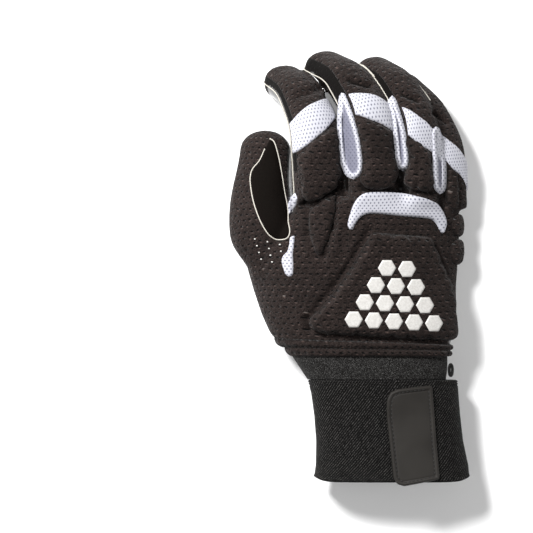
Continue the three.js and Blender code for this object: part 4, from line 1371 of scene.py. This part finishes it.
# %% Bands across the fingers
band_lines = {
    "index": ([(291.4, 122.6), (302.8, 110.4), (313.6, 102.7), (325, 99.7)],
              [(297.5, 155.5), (309, 141.8), (321, 131.8), (334, 123.4)]),
    "middle": ([(345, 96), (358, 93.6), (371, 96), (380, 99)],
               [(353, 116.5), (369, 119.6), (380, 125.7), (388, 130)]),
    "ring": ([(398, 108), (410, 111), (421, 118), (427, 126)],
             [(406, 137), (415, 140), (424, 147), (431, 156)]),
    "little": ([(441.2, 134.6), (448, 140), (456, 147), (459, 151)],
               [(446.5, 160.6), (450, 165), (455, 171), (459, 176)]),
}


def finger_place(name, line):
    """Places along and angles round a finger of drawn points."""
    spots = lay_on(skin, plan(line))[0]
    return tube_fit(tubes[name], spots)[1:3]


def tube_patch(name, finger, start, end, low, high, height, along=26, across=60, width=1.4, **options):
    """A piece on a finger from start to end along it, both functions of the angle."""
    angle = np.radians(np.linspace(low, high, across))[None, :]
    share = np.linspace(0, 1, along)[:, None]
    s = start(angle) * (1 - share) + end(angle) * share
    spots, normals = snap_on(skin, tube_point(tubes[finger], s, angle, 0.5))
    arc = run_along(spots[along // 2])
    from_sides = np.minimum(arc, arc[-1] - arc)[None, :] + 0 * s
    inward = np.minimum(np.minimum(s - start(angle), end(angle) - s), from_sides)
    cloth = np.stack([np.broadcast_to(arc, s.shape), s], -1)
    return raised_grid(name, spots, normals, pillow(inward, height, width), cloth, inward, **options)


for finger, (far_line, near_line) in band_lines.items():
    edges = []
    for line in (near_line, far_line):
        s, angle = finger_place(finger, line)
        edges.append(np.polyfit(np.cos(np.radians(angle)), s, 1))
    start, end = (lambda angle, e=e: np.polyval(e, np.cos(angle)) for e in edges)
    left = 172 if finger == "index" else flank_from[finger] - 2
    piece = tube_patch(f"{finger}_mesh_band", finger, start, end, left, 4, 1.0)
    wear(piece, MESH, "mesh", f"{finger}_band")
    print(finger, "band from", [round(float(v[-1]), 1) for v in edges])

# %% Arch behind the knuckles
arch_outer = [(349, 230), (347, 224), (350.5, 211), (355, 201), (361, 195), (370, 193), (397, 193.5),
              (416, 196.6), (433, 201.5), (440, 209), (445.4, 222), (443, 233)]
arch_inner = [(352, 230), (355, 224), (359, 218.5), (364, 215.2), (374, 214), (400.6, 216.5),
              (423.6, 218.3), (431, 220), (435.5, 224), (438, 229), (441, 233.5)]
arch = ribbon_piece("mesh_arch", skin, plan(arch_outer), plan(arch_inner), puffed(2.0, 3.0, 0.6), sink=2.5,
                    even=40)
wear(arch, MESH, "mesh", "knuckle_arch")
print("arch made")

# %% Mesh between the fingers
web_lines = {
    "index_middle": ([(341, 93.6), (338, 101), (336.7, 130), (339, 157), (342.5, 171), (347, 177.5),
                      (352.7, 180)],
                     [(341, 93.6), (346, 98), (357, 130), (361, 149), (362.4, 168), (359, 176.5),
                      (352.7, 180)]),
    "middle_ring": ([(391.7, 96), (387, 103), (390.6, 119), (393.6, 146), (395, 160), (397.5, 168.5),
                     (402, 171.5)],
                    [(391.7, 96), (396.5, 103), (403, 125), (405.5, 138), (408, 160), (406.5, 168.5),
                     (402, 171.5)]),
    "ring_little": ([(435, 127), (430.6, 133), (431.5, 155), (432.5, 183.6), (434.6, 191), (439.4, 194.5)],
                    [(435, 127), (440, 132), (445.4, 160.6), (446, 184), (444, 191.5), (439.4, 194.5)]),
}


def web_piece(name, left, right, rim=2.6, lift=2.2, depth=4.2):
    """A strip over the gap between two fingers: height runs straight from edge to edge."""
    grid, distance = ribbon_grid(plan(left), plan(right), 80, 25)
    share = np.linspace(0, 1, 25)[None, :]
    kernel = np.hanning(15)[1:-1] / np.hanning(15).sum()
    heights = []
    for line in (grid[:, 0], grid[:, -1]):
        z = lay_on(skin, line)[0][:, 2]
        z = np.where(z < np.median(z) - 14, np.median(z), z)
        heights.append(np.convolve(np.pad(z, 6, mode="edge"), kernel, "valid"))
    z = heights[0][:, None] * (1 - share) + heights[1][:, None] * share
    own = lay_on(skin, grid)[0][..., 2]
    dip = ease((distance - rim) / 1.3)
    rise = lift * np.sin(np.pi * np.clip(distance / rim, 0, 1) * 0.62)
    z = np.maximum(z - depth * dip, own - 0.4 * depth * dip + 0.3)
    spots = np.concatenate([grid, z[..., None]], -1)
    normals = np.broadcast_to([0.0, 0.0, 1.0], spots.shape)
    # dip is also kept as a value layer, and the white mesh turns it into painted shade in the channel.
    return raised_grid(name, spots, normals, rise, grid, distance, 4.5, values={"dip": dip})


for name, (left, right) in web_lines.items():
    wear(web_piece(f"{name}_web", left, right), MESH, "mesh", f"{name}_gusset")
print("webs made:", len(web_lines))

# %% [markdown]
# ## Thumb trims
# A smooth near-black patch covers the side of the thumb that faces the index finger. An
# off-white piping runs round it. Two small pieces of white mesh fill the web at its foot,
# and a few punched holes beside them catch the light.

# %% Thumb patch, piping and mesh
patch_outline = [(270, 139), (265, 149), (259.8, 160.6), (253, 169), (250.6, 177), (251, 187), (254, 203),
                 (260, 220), (267, 232.5), (273, 238), (279, 240), (287, 238.5), (290, 232), (288.5, 222),
                 (287, 206), (284.5, 193), (281.6, 174), (278.5, 157), (274.5, 143)]
patch = outline_piece("smooth_thumb_patch", skin, plan(patch_outline), puffed(0.8, 3.0, 0.1))
wear(patch, PLAIN, "fabric", "thumb_patch")
patch_edge = plan(patch_outline[1:14])
patch_right = plan(patch_outline[13:] + patch_outline[:1])
paths = [line_on(skin, patch_edge, 0.3)[0], line_on(skin, patch_right, 0.3)[0]]
wear(cords("thumb_piping", paths, 0.38), PIPING, "fabric")
web_leaf = [(295, 193), (291.5, 197), (287.6, 203.5), (287, 209), (288.3, 215.6), (292, 211.5),
            (296, 206), (297.2, 199)]
leaf_mesh = outline_piece("web_mesh_leaf", skin, plan(web_leaf), puffed(1.2, 2.0, 0.2), count=80,
                          rings=14, soft=1.5)
wear(leaf_mesh, MESH, "mesh", "thumb_mesh_leaf")
web_strip = [(294.6, 235.5), (290, 237), (289.2, 245), (287.5, 251.5), (283, 255.6), (281.3, 260.5),
             (283, 268), (285.5, 274.5), (289, 277.3), (292.8, 275), (293.4, 266), (292.6, 255),
             (293.8, 245)]
strip_mesh = outline_piece("web_mesh_strip", skin, plan(web_strip), puffed(1.2, 2.4, 0.2), count=90,
                           rings=14, soft=1.5)
wear(strip_mesh, MESH, "mesh", "thumb_mesh_strip")
bright_holes = []
for column, count in enumerate((4, 4, 2)):
    for row in range(count):
        x = 255 + 12.5 * column + (2.1 - 0.5 * column) * row
        y = 239 + 2.8 * column + 6.7 * row
        bright_holes.append([(x - 0.7, y), (x + 0.7, y + 0.2)])
# The bright holes are pale dots laid on the cloth as painted highlights.
lit_dots = [line_on(skin, plan(dot), 0.12, count=6)[0] for dot in bright_holes]
wear(cords("bright_holes", lit_dots, 0.42, sides=8), PALE_PRINT_AND_HIGHLIGHT, "fabric")
print("thumb trims made")

# %% [markdown]
# ## Piping along the fingers
# Where the palm's leather meets the back's cloth, a thin off-white cord is sewn into the
# seam. It runs up one side of each finger, round its tip and down the other side.

# %% Finger piping
paths = []
for finger in ("index", "middle", "ring", "little"):
    tube = tubes[finger]
    far = np.linspace(0, 1, 20)[1:-1]
    first = 0.0 if finger == "index" else 0.62
    s = np.linspace(first * tube["total"], tube["total"] + 0.9 * tube["tip"], 90)
    left = tube_point(tube, s, np.radians(180), 0.3)
    s = np.linspace(0.62 * tube["total"], tube["total"] + 0.9 * tube["tip"], 90)
    right = tube_point(tube, s, np.radians(0), 0.3)
    bridge = left[-1] * (1 - far[:, None]) + right[-1] * far[:, None]
    bridge += tube["ahead"][-1] * (0.1 * tube["tip"] * np.sin(np.pi * far))[:, None]
    path = np.concatenate([left, bridge, right[::-1]])
    spots, normals = snap_on(skin, path)
    paths.append(spots + normals * 0.15)
wear(cords("finger_piping", paths, 0.36, sides=7), PIPING, "grip_leather")
print("piping on", len(paths), "fingers")

# %% [markdown]
# ## Wrist
# Two stitched welts end the padded back. A speckled knit band follows, and then a wide
# ribbed elastic cuff. Both are closed sleeves, open at the wrist so that a hand can get in.

# %% Welts
def hand_patch(name, low_at, high_at, low, high, rise, along=30, across=140, sink=0.6, tilt=0.0):
    """A piece on the hand between two places along it and two angles round it."""
    angle = np.radians(np.linspace(low, high, across))[None, :]
    v = np.linspace(0, 1, along)[:, None]
    at = low_at * (1 - v) + high_at * v - tilt * np.cos(angle) * v
    spots, normals = snap_on(skin, hand_point(at, angle + 0 * at, 0.3))
    arc = run_along(spots[along // 2])
    ends = np.minimum(arc, arc[-1] - arc)[None, :]
    wide = (high_at - low_at) * HAND_LENGTH
    cloth = np.stack([np.broadcast_to(arc, at.shape), v * wide + 0 * at], -1)
    inward = np.minimum(ends + 0 * at, np.minimum(v, 1 - v) * wide)
    return raised_grid(name, spots, normals, rise(v + 0 * at, ends + 0 * at), cloth, inward, sink)


def two_welts(v, ends):
    """Two round ridges side by side that fade at both ends."""
    return (0.15 + 1.9 * np.abs(np.sin(2 * np.pi * v)) ** 0.7) * ease(ends / 4)


welt = hand_patch("stitched_welts", -0.012, 0.088, -8, 188, two_welts, along=44, tilt=0.02)
wear(welt, PUNCHED, "fabric", "wrist_welt")
seams = []
for share in (0.02, 0.5, 0.98):
    angle = np.radians(np.linspace(4, 176, 160))
    at = -0.012 + share * (0.1 - 0.02 * np.cos(angle))
    spots, normals = snap_on(skin, hand_point(at, angle, 0.3))
    seams.append((spots + normals * 0.45, normals))
wear(stitches("welt_stitches", seams, 1.8, 0.9, 0.24), THREAD, "fabric")

# %% Sleeves
band_rows = Rows(
    ["left", "right", "middle", "half"],
    [
        [0, -0.76, 1.335, 0.56, 0.50],
        [0.5, -0.64, 1.325, 0.555, 0.49],
        [1, -0.545, 1.315, 0.55, 0.48],
    ],
)
cuff_rows = Rows(
    ["left", "right", "middle", "half"],
    [
        [0, -0.545, 1.475, 0.555, 0.515],
        [0.12, -0.50, 1.485, 0.55, 0.51],
        [0.35, -0.455, 1.51, 0.545, 0.50],
        [0.6, -0.43, 1.55, 0.545, 0.50],
        [0.85, -0.435, 1.62, 0.55, 0.505],
        [1, -0.46, 1.635, 0.555, 0.51],
    ],
)
BAND_TOP = -54.3
CUFF_TOP = -69.6
BAND_LENGTH = 15.0
CUFF_LENGTH = 63.0


def sleeve_point(rows, top_y, length, at, angle, offset, corner=0.0):
    """A point of a sleeve: a squared ellipse, flattened where it rests on the floor.
    The two side corners of its open end are drawn in by corner."""
    at, angle, offset = np.broadcast_arrays(at, angle, offset)
    left, right = rows("left", at) * 46, rows("right", at) * 46
    x = (left + right) / 2 + MIDDLE[0] + ((right - left) / 2 + offset) * signed_power(np.cos(angle), 0.8)
    z = rows("middle", at) * 41 + (rows("half", at) * 41 + offset) * signed_power(np.sin(angle), 0.8)
    y = top_y - at * length + corner * np.abs(np.cos(angle)) ** 10 * at**8
    return np.stack([x, y + MIDDLE[1], np.maximum(z, 1.7 - offset)], -1)


def sleeve(name, rows, top_y, length, wall, relief, along=70, across=200, corner=0.0):
    """A sleeve with an outer and an inner face, closed at both rims."""
    angle = np.linspace(0, 2 * np.pi, across, endpoint=False)[None, :]
    at = np.concatenate([np.linspace(0, 1, along), np.linspace(1, 0, along)])
    offset = np.concatenate([relief(np.linspace(0, 1, along) * length), np.full(along, -wall)])
    points = sleeve_point(rows, top_y, length, at[:, None], angle, offset[:, None], corner)
    girth = np.linalg.norm(np.diff(points[along // 2], axis=0, append=points[along // 2][:1]), axis=1)
    arc = np.concatenate([[0], np.cumsum(girth)[:-1]])
    cloth = np.stack(np.broadcast_arrays(arc[None, :], (at * length)[:, None]), -1)
    rows_count, columns = points.shape[:2]
    flat = np.concatenate([points, points[:1]]).reshape(-1, 3)
    faces = grid_faces(rows_count + 1, columns, True)
    faces = np.where(faces >= rows_count * columns, faces - rows_count * columns, faces)
    flat = flat[: rows_count * columns]
    inward = np.minimum(at, 1 - at)[:, None] * length + 0 * arc[None, :]
    return face_outward(make_object(name, flat, faces.tolist(), cloth.reshape(-1, 2), {"inward": inward}))


def band_relief(run):
    """The knit swells a little between its two seams."""
    return 0.5 * np.sin(np.pi * run / BAND_LENGTH)


def cuff_relief(run):
    """Two pressed lines near the top edge and a rolled hem at the bottom."""
    lines = np.exp(-((run - 1.6) / 0.4) ** 2) + np.exp(-((run - 3.2) / 0.4) ** 2)
    hem = np.exp(-((run - CUFF_LENGTH + 1.2) / 0.9) ** 2)
    ends = np.minimum(run, CUFF_LENGTH - run)
    return -0.5 * lines + 0.35 * hem - 0.9 * (1 - np.clip(ends / 1.0, 0, 1)) ** 2


knit = sleeve("knit_wrist", band_rows, BAND_TOP, BAND_LENGTH, 1.4, band_relief, along=30)
wear(knit, KNIT, "knit", "wrist_band")
cuff = sleeve("elastic_cuff", cuff_rows, CUFF_TOP, CUFF_LENGTH, 2.2, cuff_relief, along=150, across=260,
              corner=3.0)
wear(cuff, ELASTIC, "elastic", "cuff")
print("sleeves made")

# %% [markdown]
# ## Strap tab
# The wrist strap ends in a smooth moulded tab, pressed on to the cuff. It has a raised rim and
# a line of dark stitches inside it, and it hangs a little over the cuff's edge.

# %% The tab and its stitches
turn = np.linspace(0, 2 * np.pi, 240, endpoint=False)
at, angle = np.meshgrid(np.linspace(0, 1.0, 160), turn, indexing="ij")
longer = sleeve_point(cuff_rows, CUFF_TOP, CUFF_LENGTH, at, angle, np.zeros_like(at))
tail = longer[-1:].repeat(6, 0)
tail[..., 1] -= np.linspace(1.5, 9, 6)[:, None]
longer = np.concatenate([longer, tail])
cuff_ground = surface(longer.reshape(-1, 3), grid_faces(len(longer), 240, True)[:, ::-1])
tab_outline = [(385.8, 406), (386.6, 398), (390, 391.5), (397, 388.4), (410, 386.8), (420, 385.7),
               (429.6, 384.8), (431.2, 386.5), (433, 410), (435.6, 444), (438.6, 476.5),
               (437.6, 478.6), (420, 482), (403, 485), (396.5, 483), (392.8, 477), (391, 461),
               (388.3, 436), (386.2, 418)]


def tab_rise(grid, distance):
    """A flat top with a raised rim, and a pressed line just inside it."""
    h = 1.5 * np.sqrt(np.clip(1 - (1 - np.clip(distance / 0.9, 0, 1)) ** 2, 0, 1)) + 0.3
    rim = 0.45 * ease(distance / 0.6) * (1 - ease((distance - 1.7) / 0.7))
    return h + rim - 0.25 * np.exp(-((distance - 2.9) / 0.35) ** 2)


tab = outline_piece("moulded_strap_tab", cuff_ground, plan(tab_outline), tab_rise, rings=44,
                    count=300, soft=1.2, sink=-0.15)
wear(tab, TAB, "strap", "strap_tab")
tab_ground = surface_of(tab)
inner = rounded_outline(plan(tab_outline), 200, 1.2)
inner = inner.mean(0) + (inner - inner.mean(0)) * np.array([0.82, 0.925])
start = int(np.argmax(inner[:, 0] + 0.4 * inner[:, 1]))
inner = np.roll(inner, -start, 0)
inner = inner[inner[:, 0] < inner[:, 0].max() - 5.0] if inner[5, 0] < inner[0, 0] else inner
spots, normals = lay_on(tab_ground, inner)
wear(stitches("tab_stitches", [(spots + normals * 0.1, normals)], 1.6, 0.9, 0.36), THREAD, "strap")
print("strap tab made")

# %% [markdown]
# ## Loops and label
# A small loop of cord sticks out at the side of the wrist, and a webbing loop hangs from the
# cuff's edge on the palm side. A woven label with a pale frame and an empty writing
# field is sewn above it.

# %% Loops
low, high = (np.array(corner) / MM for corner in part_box("side_loop"))
turn = np.linspace(0, 2 * np.pi, 40, endpoint=False)
middle = (low + high) / 2
reach = (high - low) / 2 - 0.9
ring_shape = [reach[0] * np.cos(turn), reach[1] * np.sin(turn), 0.2 * np.sin(2 * turn)]
ring_path = middle + np.stack(ring_shape, -1)
wear(cords("wrist_side_loop", [ring_path], 0.95, closed=True, sides=12), THREAD, "elastic", "side_loop")
low, high = (np.array(corner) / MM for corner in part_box("pull_loop"))
t = np.linspace(0, 1, 40)[:, None]
u = np.linspace(0, 1, 12)[None, :]
thick = max(high[2] - low[2] - 0.9, 0.5)
loop_x = low[0] + (high[0] - low[0]) * u + 0 * t
loop_y = high[1] - (high[1] - low[1] - 0.4) * np.sin(np.pi * t) ** 0.6 + 0 * u
loop_z = low[2] + 0.45 + thick * t + 0 * u
spots = np.stack([loop_x, loop_y, loop_z], -1)
slope = np.gradient(spots[:, 0], axis=0)
normals = np.stack([np.zeros(40), -slope[:, 2], slope[:, 1]], -1)
normals /= np.linalg.norm(normals, axis=1, keepdims=True)
normals = np.broadcast_to(normals[:, None], spots.shape)
cloth = np.stack([loop_x, t * 16 + 0 * u], -1)
webbing = raised_grid("webbing_pull_loop", spots, normals, np.full(spots.shape[:2], 0.35), cloth,
                      np.full(spots.shape[:2], 5.0), 0.35)
wear(webbing, ELASTIC, "elastic", "pull_loop")
print("loops made")

# %% Label
label_outline = palm_plan([(91, 402), (155, 402), (219, 402), (219, 432), (219, 462.5), (155, 462.5),
                           (91, 462.5), (91, 432)])
label = outline_piece("woven_label", cuff_ground, label_outline, puffed(0.5, 0.8, 0.15), below=True,
                      rings=24, count=200, soft=0.9, sink=-0.1)
wear(label, LABEL_DARK, "label", "cuff_label")
label_ground = surface_of(label)
frame_lines = [[(98, 408), (149, 408)], [(98, 455.5), (149, 455.5)], [(98, 408), (98, 455.5)],
               [(119, 408), (119, 455.5)], [(149, 408), (149, 455.5)]]
LINE_HALF = 0.6
writing_field = ((153, 429), (212, 455))


def flat_bar(corners, columns=24, rows=6):
    """A thin printed area between two opposite corners of the palm drawing."""
    (x0, y0), (x1, y1) = corners
    v, u = np.meshgrid(np.linspace(0, 1, rows), np.linspace(0, 1, columns), indexing="ij")
    grid = palm_plan(np.stack([x0 + (x1 - x0) * u, y0 + (y1 - y0) * v], -1))
    spots, normals = lay_on(label_ground, grid, True)
    return (spots + normals * 0.08).reshape(-1, 3), grid_faces(rows, columns, False).tolist()


areas = [((x0 - LINE_HALF, y0 - LINE_HALF), (x1 + LINE_HALF, y1 + LINE_HALF))
         for (x0, y0), (x1, y1) in frame_lines]
flat, faces = joined([flat_bar(corners) for corners in areas + [writing_field]])
frame_print = face_outward(make_object("label_frame", flat, faces, flat[:, :2]), (0, 0, -1))
wear(frame_print, LABEL_PALE, "label")
print("label made")

# %% [markdown]
# ## Palm heel
# The heel of the palm carries a padded panel of dull leather. Its pressed channels follow
# the hand, and the pad is flat where the glove rests on it.

# %% Heel pad
heel_outline = [(90, 266), (87, 300), (89, 336), (98, 352), (117, 360), (149, 359), (188, 348),
                (209, 336), (215, 306), (210.5, 284), (211, 262), (193, 271), (166, 275), (124, 271),
                (95, 264)]
channels = [
    ([(93, 268), (93, 300), (98, 332), (106, 352)], 1.7, 1.5),
    ([(100, 268), (100, 300), (104, 330), (112, 352)], 1.3, 1.3),
    ([(125, 285), (124, 300), (125, 325)], 1.7, 1.5),
    ([(136, 285), (136, 300), (135, 325)], 1.7, 1.5),
    ([(125, 285), (127, 276), (134, 276), (136, 285)], 1.3, 1.4),
    ([(125, 325), (128, 333), (133, 333), (135, 325)], 1.3, 1.4),
    ([(163, 275), (162, 300), (157, 330), (152, 354)], 1.7, 1.5),
    ([(169, 276), (169, 300), (164, 330), (158, 352)], 1.3, 1.3),
    ([(193, 273), (195, 300), (192, 325), (188, 345)], 1.7, 1.6),
]



edge = rounded_outline(palm_plan(heel_outline), 260, 3.0)
grid, distance = outline_grid(edge, 60, 0.02, 0.7)
spots, normals = lay_on(skin, grid, True)
rise = puffed(4.2, 5.0, 0.3, channels, 0.2, palm_plan)(grid, distance)
# A point that faces the floor rises no further than the floor.
to_floor = (spots[..., 2] - 0.02) / np.maximum(-normals[..., 2], 0.05)
lowest = np.where(normals[..., 2] < -0.05, to_floor, 99)
heel = raised_grid("leather_heel_pad", spots, normals, np.minimum(rise, lowest), grid, distance, 0.6,
                   True, soft_cloth=True)
wear(heel, HEEL, "heel_leather", "heel_pad", pad=0.8)
print("heel pad made")

# %% Piping round the palm's heel and side
heel_seam = palm_plan([(70, 255), (95, 263), (124, 270), (166, 274.5), (193, 270), (210, 256)])
paths = [line_on(skin, heel_seam, 0.2, below=True)[0]]
paths[0][:, 2] = np.maximum(paths[0][:, 2], 0.6)
wear(cords("palm_piping", paths, 0.5), PIPING, "grip_leather")
print("palm piping made")

# %% [markdown]
# ## Pale honeycomb on the plate
# The plate carries a plain print of pale hexagons. Each is a thin flat disc laid on the
# plate's own surface, and all of them are one joined piece.

# %% Honeycomb
plate_ground = surface_of(plate)


def hexagon(centre, radius, rings=5, sides=36):
    """A filled hexagon in the plan, as rings of points from its middle."""
    turn = np.linspace(0, 2 * np.pi, sides, endpoint=False)
    local = (turn + np.pi / 6) % (np.pi / 3) - np.pi / 6
    edge = radius * np.cos(np.pi / 6) / np.cos(local)
    corner = np.stack([np.cos(turn + np.pi / 6), np.sin(turn + np.pi / 6)], -1)
    share = np.linspace(0.05, 1, rings)[:, None, None]
    return np.asarray(centre) + share * (edge[:, None] * corner)[None]


def hexagon_disc(centre, radius=5.6, rings=5, sides=36):
    """Points and faces of a thin hexagon laid on the plate, with a skirt round it."""
    spots, normals = lay_on(plate_ground, hexagon(centre, radius, rings, sides))
    outer = (spots + normals * 0.16).reshape(-1, 3)
    skirt = spots[-1] - normals[-1] * 0.1
    points = np.concatenate([outer, skirt, outer[:sides].mean(0)[None]])
    hub = len(points) - 1
    middle = [[hub, (j + 1) % sides, j] for j in range(sides)]
    return points, grid_faces(rings + 1, sides, True).tolist() + middle


# Four rows of five, four, three and two: each row starts half a step further in.
cells = [(353 + 11 * row + 20 * column, 319 - 17 * row + column)
         for row in range(4) for column in range(5 - row)]
flat, faces = joined([hexagon_disc(plan(centre)) for centre in cells])
honeycomb = face_outward(make_object("honeycomb_print", flat, faces, flat[:, :2]), (0, 0, 1))
wear(honeycomb, PALE_PRINT_AND_HIGHLIGHT, "fabric")
print("hexagons:", len(cells))

# %% [markdown]
# ## Camera, floor and light
# The camera hangs straight above the glove on a long lens, as in a flat product
# photograph. A soft light from the upper left gives the faint shadow at the lower right.
# A low light without shadow, a weak light at the right and an even pale surround fill in.

# %% The set
camera_data = bpy.data.cameras.new("camera")
camera_data.type = "PERSP"
camera_data.sensor_width = 36.0
height = 4.0
view_width = DRAWING_WIDTH * SQUARE * MM
camera_data.lens = 36.0 * (height - 0.02) / view_width
camera_data.clip_end = 20
camera = bpy.data.objects.new("camera", camera_data)
bpy.context.scene.collection.objects.link(camera)
centre = plan([DRAWING_WIDTH / 2, DRAWING_WIDTH / 2]) * MM
camera.location = (float(centre[0]), float(centre[1]), height)
bpy.context.scene.camera = camera

floor_data = bpy.data.meshes.new("floor")
floor_data.from_pydata([(-3, -3, 0), (3, -3, 0), (3, 3, 0), (-3, 3, 0)], [], [(0, 1, 2, 3)])
floor = bpy.data.objects.new("floor", floor_data)
bpy.context.scene.collection.objects.link(floor)
floor_finish, _, floor_shader = finish("floor", 0.9)
floor_shader.inputs["Base Color"].default_value = (0.94, 0.94, 0.94, 1)
floor_data.materials.append(floor_finish)


def soft_light(name, place, aim, size, power):
    """A square soft light at a place, turned to face an aim point."""
    data = bpy.data.lights.new(name, "AREA")
    data.size = size
    data.energy = power
    light = bpy.data.objects.new(name, data)
    bpy.context.scene.collection.objects.link(light)
    light.location = place
    light.rotation_euler = (Vector(aim) - Vector(place)).to_track_quat("-Z", "Y").to_euler()
    return light


soft_light("key", (-0.62, 0.72, 1.25), (0, 0, 0), 0.32, 38)
low_left = soft_light("low_left", (-1.15, 0.75, 0.42), (0, 0, 0.02), 0.4, 15)
low_left.data.use_shadow = False
soft_light("side", (0.95, -0.2, 0.55), (0, 0, 0), 0.5, 3)
world = bpy.data.worlds.new("surround")
bpy.context.scene.world = world
world.use_nodes = True
world.node_tree.nodes["Background"].inputs["Color"].default_value = (1, 1, 1, 1)
world.node_tree.nodes["Background"].inputs["Strength"].default_value = 0.24
bpy.context.scene.view_settings.view_transform = "Standard"
print("camera lens", round(camera_data.lens), "mm")
